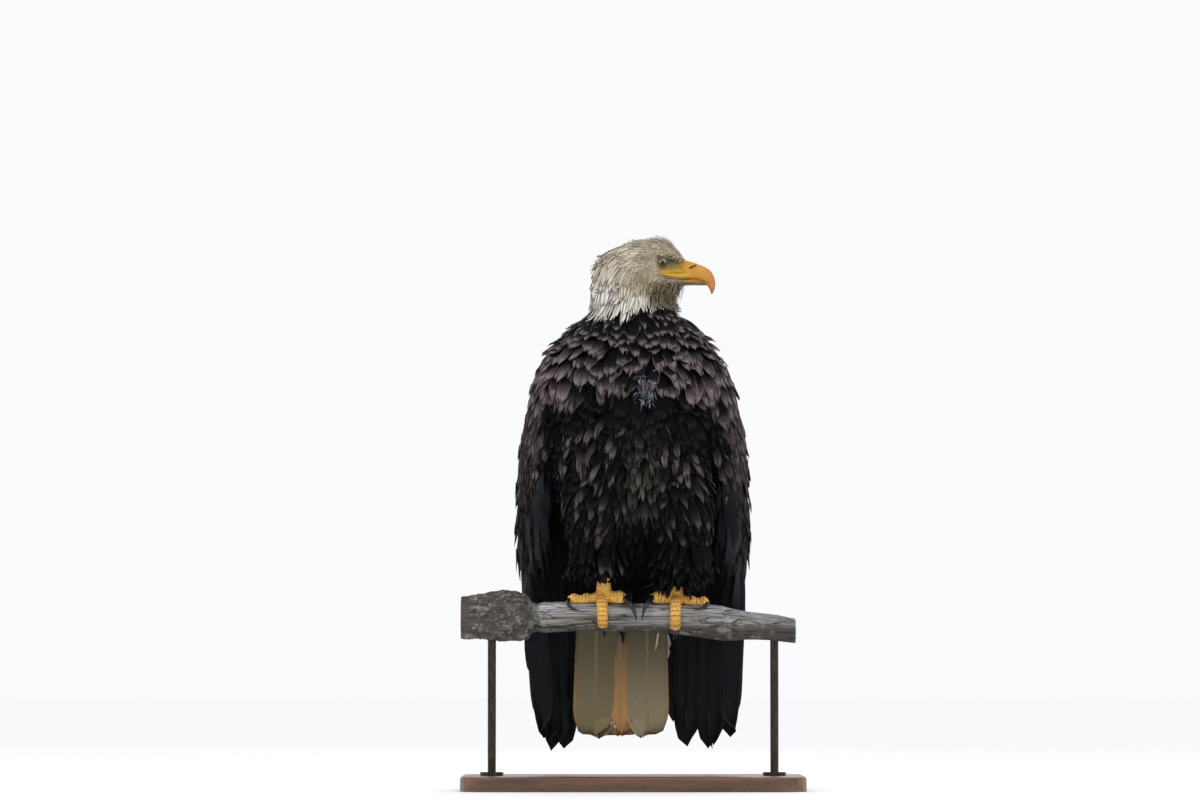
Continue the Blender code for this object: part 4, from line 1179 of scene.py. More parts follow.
def body_sizes(roots, normals, region, lit, settings, rng):
    """Length, width and lift of each brown feather."""
    x, y, z = roots.T
    wing = region == "wing"
    length = np.interp(
        z, [0.30, 0.36, 0.45, 0.55, 0.60, 0.66, 0.72], [0.036, 0.052, 0.056, 0.046, 0.048, 0.044, 0.034]
    )
    length = np.where(wing, np.interp(z, [0.40, 0.47, 0.55, 0.62], [0.105, 0.085, 0.064, 0.050]), length)
    length = np.where(lit & ~wing, length * 1.10, length)
    flank = (z < 0.44) & (region == "trunk") & (np.abs(x) > 0.070) & (y < 0)
    length = np.where(flank, 0.066, length)
    vent = (z < 0.365) & (y > -0.035) & ~wing
    length = np.where(vent, 0.060, length)
    length = length * settings.contour_length / 0.050
    # The feathers over each foot end at a hem, so that the toes show.
    for side, hem in (("right", 0.309), ("left", 0.284)):
        over = (np.abs(x - middle(f"foot_{side}").x) < 0.030) & (y < 0.0) & (z < 0.40)
        fall = np.maximum(z - hem + rng.uniform(-0.004, 0.010, len(z)), 0.010)
        length = np.where(over, np.minimum(length, fall), length)
    width = np.interp(
        z, [0.30, 0.45, 0.52, 0.57, 0.62, 0.66, 0.70],
        [0.011, 0.0125, 0.0145, 0.0235, 0.0270, 0.0220, 0.0120],
    )
    width = np.where(wing, np.interp(z, [0.40, 0.50, 0.60], [0.0190, 0.0185, 0.0190]), width)
    width = mix(width * 1.25, width, frontness(normals))
    width = np.where(lit & ~wing, 0.0125, width)
    pads = blob(np.abs(x - BREAST_X), z, 0.080, 0.610, 0.045, 0.030) * frontness(normals)
    lift = 0.0085 + 0.0090 * pads + 0.0030 * ramp(z, 0.60, 0.64) * ramp(z, 0.70, 0.68) + 0.0025 * lit
    lift -= 0.0045 * ramp(z, 0.675, 0.700)
    lift = np.where(wing, 0.0056 + 0.0030 * ramp(normals[:, 1], 0.0, 0.5), lift)
    return length, width, lift


def make_body_coat(settings):
    """Brown feathers: lance-shaped on the neck, broad pads on the breast, long and dark below."""
    skin = bpy.data.objects["skin"]
    surface = Surface(skin.data)
    roots, normals, uv, region = body_roots(skin)
    rng = np.random.default_rng(21)
    tint, lit = brown_tint(roots, normals, region, rng)
    length, width, lift = body_sizes(roots, normals, region, lit, settings, rng)
    x, _, z = roots.T
    tan_side = ramp(z, 0.590, 0.612) * ramp(x, 0.40, -0.03)
    rim = 0.05 + 0.45 * tan_side + 0.35 * ramp(z, 0.590, 0.606) + 0.20 * (1 - frontness(normals))
    rim = rim + 0.25 * lit
    tint = with_rim(tint, np.clip(rim, 0, 1))
    rows = (roots, normals, uv, body_lie(roots), length, width, lift, tint)
    # Brown body feathers: matt, near black at the root, partly painted shade where they overlap, with coarse
    # barbs and worn pale rims.
    material = feather_material(
        "brown_contour_keratin", "08090C", "131114", "857879", barbs=22.0, roughness=0.70,
        root_from=0.42, root_to=0.90, streak=0.6, gloss=0.05, rim_side=0.82, rim_tip=0.66,
    )
    round_ones = vane_templates(8, 6, 0.12, 6)
    lances = vane_templates(4, 6, 0.05, 4)
    neck, wing = z > NECK_BASE, region == "wing"
    leg = ((region == "thigh") | (region == "tail")) & ~neck
    rest = ~neck & ~wing & ~leg
    groups = {  # each group's vanes, and how loosely they lie
        "neck": (neck, 1.0),
        "legs": (leg, 0.5),
        "wing_cover": (wing & ~neck, 0.35),
        "belly": (rest & (z < BELLY_TOP), 1.0),
        "breast": (rest & (z >= BELLY_TOP), 1.4),
    }
    for name, (chosen, loose) in groups.items():
        slim = name in ("neck", "legs", "belly")
        shape, templates = (HACKLE_OUTLINE, lances) if slim else (BODY_OUTLINE, round_ones)
        plan = make_plan(
            surface, *only(chosen, *rows), 23, stray=0.15 * loose, roll=0.22 * loose, bow=0.07 * loose,
            spread=0.24 * loose, steps=5, sink=0.0012, droop=0.05, lie=body_lie,
        )
        if name == "legs":
            hang_straight(plan, plan["spines"][:, 0, 2] < 0.372)
        hangs = plan["spines"][:, -1, 2] < plan["spines"][:, 0, 2] - 0.55 * plan["length"]
        plan = part_of(plan, hangs)
        if name == "wing_cover":
            reach = np.abs(plan["spines"][:, :, 0])
            allowed = 0.012 + 0.020 * ramp(plan["spines"][:, 0, 2], 0.500, 0.540)
            plan = part_of(plan, (reach.max(axis=1) < reach[:, 0] + allowed) | (reach[:, 0] < 0.12))
        make_coat(f"coat_{name}", plan, templates, shape, material)
    make_parting_down(skin, surface)


def hang_straight(plan, chosen):
    """Lets the chosen vanes fall straight down from their roots, over the bare part of the legs."""
    chosen = chosen & (plan["spines"][:, 0, 1] < 0.0)
    along = np.linspace(0, 1, plan["spines"].shape[1])[None, :, None]
    out = plan["normals"][chosen][:, :1] * (1.0, 1.0, 0.0)
    out = out / np.maximum(np.linalg.norm(out, axis=2, keepdims=True), 0.2)
    start = plan["spines"][chosen][:, :1]
    rng = np.random.default_rng(29)
    count = chosen.sum()
    reach = (plan["length"][chosen] * rng.uniform(0.72, 1.06, count))[:, None, None]
    fall = np.column_stack([rng.normal(0, 0.16, count), np.zeros(count), np.full(count, -0.98)])
    plan["spines"][chosen] = start + reach * along * fall[:, None] + out * 0.004 * np.sin(along * 2.2)
    plan["normals"][chosen] = unit(np.broadcast_to(out + (0.0, 0.0, 0.05), plan["spines"][chosen].shape))


def make_parting_down(skin, surface):
    """Loose white down that shows where the breast feathers part."""

    def keep(points, normals):
        x, _, z = points.T
        return (np.abs(x - PARTING_X) < 0.011) & (np.abs(z - 0.582) < 0.019) & (normals[:, 1] < 0)

    roots, normals, uv = sow(skin, 0.0023, keep, 26)
    rng = np.random.default_rng(27)
    count = len(roots)
    white, grey = palette("A9AEB8", "3A3E46")
    tint = with_rim(mix(grey, white, rng.random(count) ** 1.9), 0.1)
    lie = np.tile((0.0, 0.0, -1.0), (count, 1))
    plan = make_plan(
        surface, roots, normals, uv, lie, 0.013, 0.0028, 0.0115, tint, 28,
        stray=0.55, roll=0.8, bow=0.25, spread=0.4,
    )
    # Loose down: matt grey fluff.
    down = feather_material(
        "loose_down_keratin", "3A3D42", "A9ADB2", "D5D8DC", barbs=12.0, roughness=0.8,
        root_from=0.0, root_to=0.4, streak=0.3, gloss=0.1, rim_side=0.6, rim_tip=0.8,
    )
    make_coat("coat_parting_down", plan, vane_templates(2, 4, 0.0, 1), LANCE_OUTLINE, down)


# --- Wings and tail ------------------------------------------------------------------------


def drawn_spine(surface, start, end, outward, top_depth, depth):
    """A spine of 8 points from start to end on the side of the surface that faces outward.

    It starts at the top depth under the surface and comes out to the other depth over two fifths of it.
    """
    points, normals = [], []
    for k in range(8):
        t = k / 7
        straight = start.lerp(end, t)
        facing = Vector((0.0, math.copysign(1.0, outward.y), 0.0))
        found, normal, _, _ = surface.tree.ray_cast(straight + facing * 0.4, -facing)
        if found is None:
            found, normal, _ = surface.nearest(straight)
        points.append(found - normal * float(mix(top_depth, depth, ramp(t, 0.0, 0.4))))
        normals.append((normal + outward * 0.5).normalized())
    return points, normals


def long_plan(rows, uv, camber):
    """A plan for long feathers from rows of (spine points, normals, width, tint, lift, skew, roll)."""
    spines, normals, widths, tints, lifts, skews, rolls = map(np.array, zip(*rows))
    return {
        "spines": spines,
        "normals": normals,
        "length": np.linalg.norm(np.diff(spines, axis=1), axis=2).sum(1),
        "width": widths,
        "lift": lifts,
        "sink": np.zeros(len(rows)),
        "roll": rolls,
        "bow": np.zeros(len(rows)),
        "skew": skews,
        "rise_power": 1.0,
        "thick": 0.0009,
        "camber": camber,
        "uv": uv,
        "tint": tints,
    }


def nearest_uv(skin, surface, points):
    """Each point's place on the skin's unwrap."""
    found = [surface.tree.find_nearest(Vector(p))[2] for p in points]
    return skin_map(skin)[surface.loops[found, 0]]


WING_TIPS = {  # X out and Z of the longest primaries' tips, from the front edge inwards
    "left": (
        (0.1452, 0.077), (0.1290, 0.0615), (0.1120, 0.0600),
        (0.0960, 0.0680), (0.0800, 0.0625), (0.0655, 0.0950),
    ),
    "right": (
        (0.1330, 0.074), (0.1217, 0.0560), (0.1100, 0.0640),
        (0.1010, 0.0600), (0.0900, 0.0850), (0.0800, 0.1150),
    ),
}


def make_flight_feathers(settings):
    """The long primaries and secondaries of both folded wings, seen from the front and from behind."""
    skin = bpy.data.objects["skin"]
    skin_surface = Surface(skin.data)
    rng = np.random.default_rng(31)
    rows = []
    black, grey, brown = palette("0C0F13", "1E2126", "332D2B")
    width = settings.primary_width
    for side, sign in SIDES.items():
        wing = Surface(cad_mesh([f"wing_{side}"]))
        fore = Vector((0.25 * sign, -1.0, 0.0)).normalized()
        aft = Vector((0.45 * sign, 1.0, 0.0)).normalized()
        # Primaries: their tips reach below the branch, and both faces of the wing show them.
        for outward, facing in ((fore, 1), (aft, -1)):
            for k, (x, z) in enumerate(WING_TIPS[side]):
                start = Vector(((0.158 - 0.019 * k) * sign, 0.04, 0.450 - 0.008 * k))
                end = Vector((x * sign, 0.10, z))
                spine, normals = drawn_spine(wing, start, end, outward, 0.0060, 0.0012 + 0.0007 * k)
                tint = (*mix(black, grey, rng.uniform(0.0, 0.6)), 0.35)
                rows.append((spine, normals, width, tint, 0.0, 0.25 * sign * facing, 0.08 * sign))
        # Secondaries: a fan over the back of the primaries, each a step higher than the one outside it.
        for k in range(15):
            t = k / 14
            start = Vector(((0.152 - 0.127 * t) * sign, 0.08, 0.470 + 0.02 * t))
            end = Vector(((0.148 - 0.110 * t) * sign, 0.09, 0.165 + 0.115 * t))
            end.z += rng.uniform(-0.006, 0.006)
            spine, normals = drawn_spine(wing, start, end, aft, 0.0070, -0.0004 - 0.0002 * (k % 3))
            tint = (*mix(black, brown, rng.uniform(0.3, 1.0)), 0.7)
            rows.append((spine, normals, 0.031, tint, 0.0015, -0.2 * sign, 0.16 * sign))
        # The narrow feathers of the wing's leading side, over the front of the primaries.
        side_on = Vector((0.55 * sign, -1.0, 0.0)).normalized()
        for k in range(12):
            t = k / 11
            start = Vector(((0.164 - 0.050 * t) * sign, -0.02, 0.455 + 0.01 * (k % 3)))
            end = Vector(((0.157 - 0.060 * t) * sign, 0.03, 0.215 + 0.035 * (k % 4)))
            spine, normals = drawn_spine(wing, start, end, side_on, 0.0070, 0.0003 * (k % 3) - 0.0004)
            tint = (*mix(black, grey, rng.uniform(0.0, 1.0)), 0.5)
            rows.append((spine, normals, 0.017, tint, 0.001, 0.2 * sign, 0.14 * sign))
    uv = nearest_uv(skin, skin_surface, [row[0][0] for row in rows])
    # Flight feathers: stiff near-black vanes with fine barbs and a slight sheen.
    material = feather_material(
        "flight_feather_keratin", "090A0D", "1B1A1D", "4E4847", barbs=60.0, roughness=0.55,
        root_from=0.0, root_to=0.1, streak=0.5, gloss=0.08, rim_side=0.80, rim_tip=0.96,
    )
    templates = vane_templates(8, 24, 0.004, 4)
    make_coat(
        "flight_feathers", long_plan(rows, uv, 0.10), templates, FLIGHT_OUTLINE, material
    )


def make_tail_feathers(settings):
    """White tail feathers: a fan on each side below, a strip between them, a fan on top, and coverts."""
    skin = bpy.data.objects["skin"]
    skin_surface = Surface(skin.data)
    tail = Surface(cad_mesh(["tail"]))
    rng = np.random.default_rng(41)
    rows = []
    # Where the white tail faces the front it is painted olive and cream, as shade, and the peach is painted
    # light shining through the vanes.
    olive, cream, backlit_peach, white = palette("7C7256", "90856A", "B78A59", "CFCABD")
    ventral, dorsal = Vector((0.0, -1.0, 0.0)), Vector((0.0, 1.0, 0.0))
    fan = ((0.0, 0.0, 0.94), (0.004, 0.011, 0.92), (-0.005, 0.017, 0.88))
    for sign, centre, tip_z, shade in ((-1.0, -0.0578, 0.0620, olive), (1.0, 0.0226, 0.0630, cream)):
        for k, (aside, short, share) in enumerate(fan):
            start = Vector((centre * 0.9 + sign * aside * 0.4, 0.05, 0.282))
            end = Vector((centre + sign * aside, 0.09, tip_z + short))
            spine, normals = drawn_spine(tail, start, end, ventral, 0.003, 0.0004 + 0.0007 * k)
            tint = (*(mix(shade, backlit_peach, 0.10 * k) * rng.uniform(0.86, 1.10)), 1.0)
            rows.append((spine, normals, settings.tail_width * share, tint, 0.0, 0.12 * sign, -0.04 * sign))
    # The strip between the fans: peach, painted light shining through the vanes.
    for k in range(3):
        start, end = Vector((-0.0185, 0.05, 0.282)), Vector((-0.0185, 0.09, 0.077 + 0.003 * k))
        spine, normals = drawn_spine(tail, start, end, ventral, 0.004, 0.0022 + 0.0005 * k)
        rows.append((spine, normals, 0.050, (*(backlit_peach * (1.0 - 0.08 * k)), 0.6), 0.0, 0.0, 0.0))
    for k in range(8):
        t = k / 7 * 2 - 1
        start = Vector((-0.011 + 0.034 * t, 0.06, 0.262))
        end = Vector((-0.017 + 0.048 * t, 0.09, 0.085 + 0.010 * t * t))
        spine, normals = drawn_spine(tail, start, end, dorsal, 0.009, 0.0008 + 0.0005 * abs(k - 3.5))
        tint = (*(white * rng.uniform(0.9, 1.05)), 0.6)
        rows.append((spine, normals, 0.034, tint, 0.0, 0.15 * math.copysign(1, t), 0.0))
    uv = nearest_uv(skin, skin_surface, [row[0][4] for row in rows])
    # Tail feathers: dull vanes with fine barbs, darker olive towards the root as painted shade, and a warm
    # rim painted as light shining through the edge.
    material = feather_material(
        "white_tail_keratin", "554D39", "81775A", "C6935C", barbs=210.0, roughness=0.60,
        root_from=0.15, root_to=0.95, streak=0.30, gloss=0.2, rim_side=0.93, rim_tip=0.965,
    )
    templates = vane_templates(12, 26, 0.010, 4)
    make_coat("tail_feathers", long_plan(rows, uv, 0.03), templates, TAIL_OUTLINE, material)

    def keep(points, normals):
        lowest = np.where(normals[:, 1] > 0, 0.215, 0.270)
        return in_tail_column(points) & (points[:, 2] > lowest) & (points[:, 2] < 0.300)

    roots, normals, uv = sow(skin, 0.0080, keep, 42)
    on_tail = region_tree()(roots) == "tail"
    roots, normals, uv = only(on_tail, roots, normals, uv)
    lie = np.tile((0.0, 0.0, -1.0), (len(roots), 1))
    length = np.interp(roots[:, 2], [0.20, 0.26, 0.33], [0.046, 0.056, 0.058])
    lift = np.where(normals[:, 1] > 0, 0.0150, 0.0062)
    # Coverts that face the front are painted olive, as shade on the white.
    shade = np.where(normals[:, 1:2] > -0.4, white, olive)
    tint = with_rim(shade * rng.uniform(0.85, 1.05, len(roots))[:, None], 0.3)
    plan = make_plan(
        skin_surface, roots, normals, uv, lie, length, 0.016, lift, tint, 43,
        stray=0.08, bow=0.04, droop=0.1,
    )
    coverts = vane_templates(4, 6, 0.04, 4)
    # Tail coverts: soft, matt and white.
    covert = feather_material(
        "tail_covert_keratin", "A8A18D", "B3AB95", "D6CFBC", barbs=22.0, roughness=0.62,
        root_from=0.0, root_to=0.4, streak=0.4, gloss=0.2, rim_side=0.6, rim_tip=0.8,
    )
    make_coat("coat_tail_coverts", plan, coverts, HACKLE_OUTLINE, covert)


# --- Bill, cere and eyes -------------------------------------------------------------------


def mouth_line(x):
    """Height of the line where the bill closes, along the head."""
    return np.interp(x, [0.038, 0.061, 0.083, 0.098, 0.113], [-0.0186, -0.0210, -0.0222, -0.0246, -0.0283])


BILL_CUT = 0.0945  # where the horn's own piece starts, ahead of the nostrils


def cere_edge(z):
    """Where the soft cere ends on the horn of the bill, along the head."""
    return 0.0885 + 0.23 * (z + 0.023)


def nostril(local):
    """1 in the slanting slit of each nostril, 0 around it."""
    x, _, z = local.T
    along = np.clip(((x - 0.0842) * 0.0071 + (z + 0.0066) * 0.0038) / (0.0071**2 + 0.0038**2), 0, 1)
    gap = np.hypot(x - 0.0842 - 0.0071 * along, z + 0.0066 - 0.0038 * along)
    return ramp(gap, 0.0019, 0.0010)


def bill_colours(local):
    """Yellow cere, then golden horn, more orange towards the hook and greyer on the cutting edges."""
    x, _, z = local.T
    gold, orange, brown, grey, yellow, light, line, olive, flesh = palette(
        "BE8627", "BA7624", "7C5C26", "4C422C", "CB9A20", "CF9A40", "3E2A12", "86723A", "84604A"
    )
    tint = mix(np.broadcast_to(gold, local.shape), orange, ramp(x, 0.098, 0.114))
    tint = mix(tint, light, 0.35 * blob(x, z, 0.098, -0.008, 0.010, 0.005))
    tint = mix(tint, brown, 0.7 * ramp(z, -0.030, -0.044) * ramp(x, 0.100, 0.108))
    # Painted shade along the line where the bill closes.
    tint = mix(tint, brown, 0.55 * stripe(z - mouth_line(x) - 0.0008, 0.0011))
    tint = mix(tint, grey, 0.85 * ramp(z, -0.0265, -0.0300) * ramp(x, 0.108, 0.102))
    soft = mix(yellow, gold, ramp(x, 0.070, 0.088))
    below = mouth_line(x) - z
    soft = mix(soft, olive, 0.75 * ramp(below, 0.0002, 0.0014))
    soft = mix(soft, flesh, 0.7 * ramp(below, -0.0004, 0.0008) * ramp(x, 0.060, 0.050))
    # Painted shade in the line where the gape closes.
    soft = mix(soft, line, 0.9 * stripe(below, 0.00065) * ramp(x, 0.040, 0.046))
    edge = cere_edge(z)
    soft = mix(soft, brown, 0.35 * stripe(x - edge, 0.0007) * ramp(z, -0.020, -0.016))
    return mix(soft, tint, ramp(x - edge, -0.0006, 0.0010))


def under_bill_colours(local):
    """The lower half of the bill: golden at its edge, and painted shade in grey brown beneath."""
    below = 0.85 * ramp(local[:, 2], -0.0250, -0.0285)
    return mix(bill_colours(local + (0.02, 0.0, 0.0)), linear("4C442E"), below)


def add_bill_piece(name, mesh, colours, material, node):
    """Cuts the mouth line and the nostrils into a piece of the bill, and colours it."""
    points, normals = mesh_points(mesh), mesh_normals(mesh)
    local = in_head(points)
    x, _, z = local.T
    sideways = ramp(np.abs(normals @ np.array(ACROSS)), 0.2, 0.6)
    groove = stripe(z - mouth_line(x), 0.0009) * sideways * ramp(x, 0.094, 0.086)
    slit = nostril(local) * sideways
    roll = stripe(z - mouth_line(x) - 0.0058, 0.0011) * sideways * ramp(x, 0.076, 0.066)
    set_points(mesh, points - normals * (0.0011 * groove + 0.0016 * slit + 0.0005 * roll)[:, None])
    # The nostrils' slits are painted near black, as shade inside them.
    colour_points(mesh, mix(colours(local), linear("140C06"), slit))
    obj = add_piece(name, mesh, [material], (node,))
    obj.data.set_sharp_from_angle(angle=math.radians(55))


def make_bill():
    """The horn of the bill and the soft cere, gape and nostrils."""
    # Bill keratin: smooth and satin, with faint growth lines and a waxy depth.
    horn = mottled_material(
        "bill_keratin", 0.34,
        [
            ((0.0140, 0.0020, 0.0020), 4.0, 0.48, 0.75, "B97F32", 0.40),
            ((0.0070,) * 3, 3.0, 0.50, 0.80, "D09E4A", 0.20),
        ],
        (0, 0.15, 0.0003), Subsurface_Weight=0.08, Subsurface_Scale=0.002, Coat_Weight=0.12,
        Coat_Roughness=0.3,
    )
    # Cere skin: soft waxy yellow skin with shallow creases along the mouth.
    soft = mottled_material(
        "cere_skin", 0.46,
        [
            ((0.0100, 0.0030, 0.0016), 3.0, 0.45, 0.75, "A07A2C", 0.40),
            ((0.0050,) * 3, 3.0, 0.50, 0.80, "CFA63E", 0.25),
        ],
        (0, 0.35, 0.0005), Subsurface_Weight=0.08, Subsurface_Scale=0.002,
    )
    upper = blended_bill(0.0007)
    back = kept_half(upper.copy(), BILL_CUT, -FORWARD)
    add_bill_piece(
        "bill_horn", kept_half(upper, BILL_CUT, FORWARD), bill_colours, horn, "bill_upper"
    )
    add_bill_piece(
        "bill_under", refined(["bill_lower"], 0.0006, 3), under_bill_colours, horn, "bill_lower",
    )
    add_bill_piece("cere_and_gape", back, bill_colours, soft, "cere")


def blended_bill(voxel):
    """The upper bill and the cere in one, where the gape's end is smoothed into the horn."""
    mesh = refined(["bill_upper", "cere"], voxel, 3)
    x, _, z = in_head(mesh_points(mesh)).T
    gape = np.flatnonzero((x > 0.060) & (x < 0.092) & (z < -0.0105) & (z > mouth_line(x) + 0.0006))
    bm = bmesh_of(mesh)
    bm.verts.ensure_lookup_table()
    smooth_verts(bm, [bm.verts[int(k)] for k in gape], 40)
    return mesh_of(bm, mesh)


def kept_half(mesh, x, ahead):
    """Keeps what lies ahead of this X of the head, and closes the cut."""
    bm = bmesh_of(mesh)
    bmesh.ops.bisect_plane(
        bm,
        geom=bm.verts[:] + bm.edges[:] + bm.faces[:],
        plane_co=FROM_HEAD @ Vector((x, 0, 0)),
        plane_no=ahead,
        clear_inner=True,
    )
    bmesh.ops.holes_fill(bm, edges=[edge for edge in bm.edges if edge.is_boundary])
    return mesh_of(bm, mesh)


def gaze(side):
    """A matrix at the eye whose Z looks out of it and whose X points to the bill."""
    out = (ACROSS * SIDES[side] + FORWARD * 0.30).normalized()
    right = FORWARD - out * FORWARD.dot(out)
    right.normalize()
    turn = Matrix((right, out.cross(right), out)).transposed().to_4x4()
    return Matrix.Translation(middle(f"eye_{side}")) @ turn


def make_eyes(settings):
    """Two eyeballs and, round each, the skin of its lids."""
    # Wet eye: a clear coat over a pale iris.
    wet = mottled_material(
        "wet_eye", 0.25, [((0.0007,) * 3, 2.0, 0.45, 0.75, "1C190F", 0.25)], (0, 0.0, 0.0001),
        Specular_IOR_Level=0.1, Coat_Weight=0.2, Coat_Roughness=0.02,
    )
    # Eyelid skin: fine dry wrinkles.
    lid_skin = mottled_material(
        "eyelid_skin", 0.5, [((0.0009,) * 3, 3.0, 0.45, 0.75, "2E2A1E", 0.40)], (0, 0.4, 0.0003)
    )
    for side in SIDES:
        bm = bmesh.new()
        bmesh.ops.create_uvsphere(bm, u_segments=48, v_segments=72, radius=EYE_RADIUS)
        angle = np.array([math.degrees(vert.co.angle(Vector((0, 0, 1)))) for vert in bm.verts])
        upward = np.array([vert.co.y for vert in bm.verts]) * (-1 if side == "right" else 1) / EYE_RADIUS
        for vert, turn in zip(bm.verts, angle):
            vert.co *= 1 + 0.035 * float(ramp(turn, 28, 0))
        bmesh.ops.transform(bm, matrix=gaze(side), verts=bm.verts)
        mesh = mesh_of(bm)
        iris, outer, pupil, rim = palette("A89E72", "7C734C", "010101", "1E1B14")
        tint = mix(iris, outer, ramp(angle, 18, 27))
        tint = mix(tint, rim, ramp(angle, 28, 31))
        # Painted shade from the brow over the eyeball's upper part.
        tint = mix(tint, rim, 0.9 * ramp(upward, -0.04, 0.18))
        tint = mix(tint, pupil, ramp(angle, settings.pupil_angle + 1.0, settings.pupil_angle - 1.0))
        colour_points(mesh, tint)
        add_piece(f"eyeball_{side}", mesh, [wet], (f"eye_{side}",))
        add_piece(f"eyelids_{side}", lid_mesh(side), [lid_skin])


def lid_mesh(side):
    """A rolled rim turned round the gaze, almond shaped, with the colours of the skin round it."""
    profile = (
        (0.0056, 0.0095), (0.0057, 0.0102), (0.0062, 0.0106), (0.0070, 0.0104), (0.0080, 0.0097),
        (0.0090, 0.0088), (0.0100, 0.0074), (0.0108, 0.0056),
    )
    upward = -1 if side == "right" else 1
    bm = bmesh.new()
    verts = [bm.verts.new((radius, 0, height)) for radius, height in profile]
    edges = [bm.edges.new(pair) for pair in zip(verts, verts[1:])]
    bmesh.ops.spin(
        bm, geom=verts + edges, cent=(0, 0, 0), axis=(0, 0, 1), angle=2 * math.pi, steps=56, use_merge=True
    )
    for vert in bm.verts:
        radius = math.hypot(vert.co.x, vert.co.y)
        rise = vert.co.y * upward / radius
        inner = float(ramp(radius, 0.0085, 0.0060))
        corner = (abs(vert.co.x) / radius) ** 5
        vert.co.x *= 1.0 + 0.16 * corner * inner
        vert.co.y *= 1.0 - inner * (0.50 if rise > 0 else 0.14)
        vert.co.z += inner * (0.0010 if rise > 0.3 else 0.0002)
    bmesh.ops.recalc_face_normals(bm, faces=bm.faces)
    bmesh.ops.solidify(bm, geom=bm.faces[:], thickness=0.0005)
    reach = np.array([math.hypot(vert.co.x, vert.co.y) for vert in bm.verts])
    rise = np.array([vert.co.y * upward for vert in bm.verts]) / reach
    bmesh.ops.transform(bm, matrix=gaze(side), verts=bm.verts)
    bmesh.ops.recalc_face_normals(bm, faces=bm.faces)
    mesh = mesh_of(bm)
    tint = face_colours(mesh_points(mesh))
    ash, shadow = palette("A39A82", "1A1812")
    tint = mix(tint, linear("4A422E"), 0.6)
    tint = mix(tint, ash, 0.8 * ramp(reach, 0.0068, 0.0060) * ramp(rise, -0.1, -0.5))
    tint = mix(tint, shadow, ramp(reach, 0.0075, 0.0058) * ramp(rise, 0.0, 0.4))
    colour_points(mesh, tint)
    return mesh


# --- Claws ---------------------------------------------------------------------------------


def make_claws():
    """Eight curved claws."""
    # Claw horn: hard black keratin, polished by use, with faint lengthwise striae.
    horn = mottled_material(
        "claw_keratin", 0.22, [((0.0020,) * 3, 4.0, 0.50, 0.80, "3E434B", 0.6)], (0, 0.12, 0.0003), "14161B"
    )
    for side in SIDES:
        for toe in TOES:
            node = f"claw_{side}_{toe}"
            add_piece(f"talon_{side}_{toe}", refined([node], 0.0006, 2), [horn], (node,))


# --- Branch and stand ----------------------------------------------------------------------


def branch_material():
    """Weathered bare wood: silver grey, with fine checks along the grain, and brown where it is sound."""
    made = mottled_material(
        "weathered_branch_wood", 0.85,
        [
            ((0.0700, 0.0038, 0.0038), 6.0, 0.42, 0.66, "4A453F", 0.80),
            ((0.0180,) * 3, 5.0, 0.50, 0.72, "B4B2AC", 0.45),
            ((0.1000, 0.0016, 0.0016), 3.0, 0.55, 0.66, "2B2622", 0.80),
        ],
        (0, 0.8, 0.0014),
    )
    tree = made.node_tree
    base_colour = tree.nodes["Principled BSDF"].inputs["Base Color"]
    place = add_node(tree, "ShaderNodeTexCoord")
    checks = add_node(
        tree, "ShaderNodeMapping", None, {0: place.outputs["Object"], "Scale": (11.0, 120.0, 120.0)}
    )
    cells = add_node(
        tree, "ShaderNodeTexVoronoi", {"feature": "DISTANCE_TO_EDGE"}, {"Vector": checks, "Scale": 1.0}
    )
    crack = add_node(tree, "ShaderNodeMapRange", SMOOTH, {0: cells, 1: 0.055, 2: 0.0, 4: 0.85})
    whole = base_colour.links[0].from_socket
    cracked = add_node(tree, "ShaderNodeMix", COLOURS, {0: crack, 6: whole, 7: linear("1C1815")})
    tree.links.new(cracked.outputs[2], base_colour)
    return made


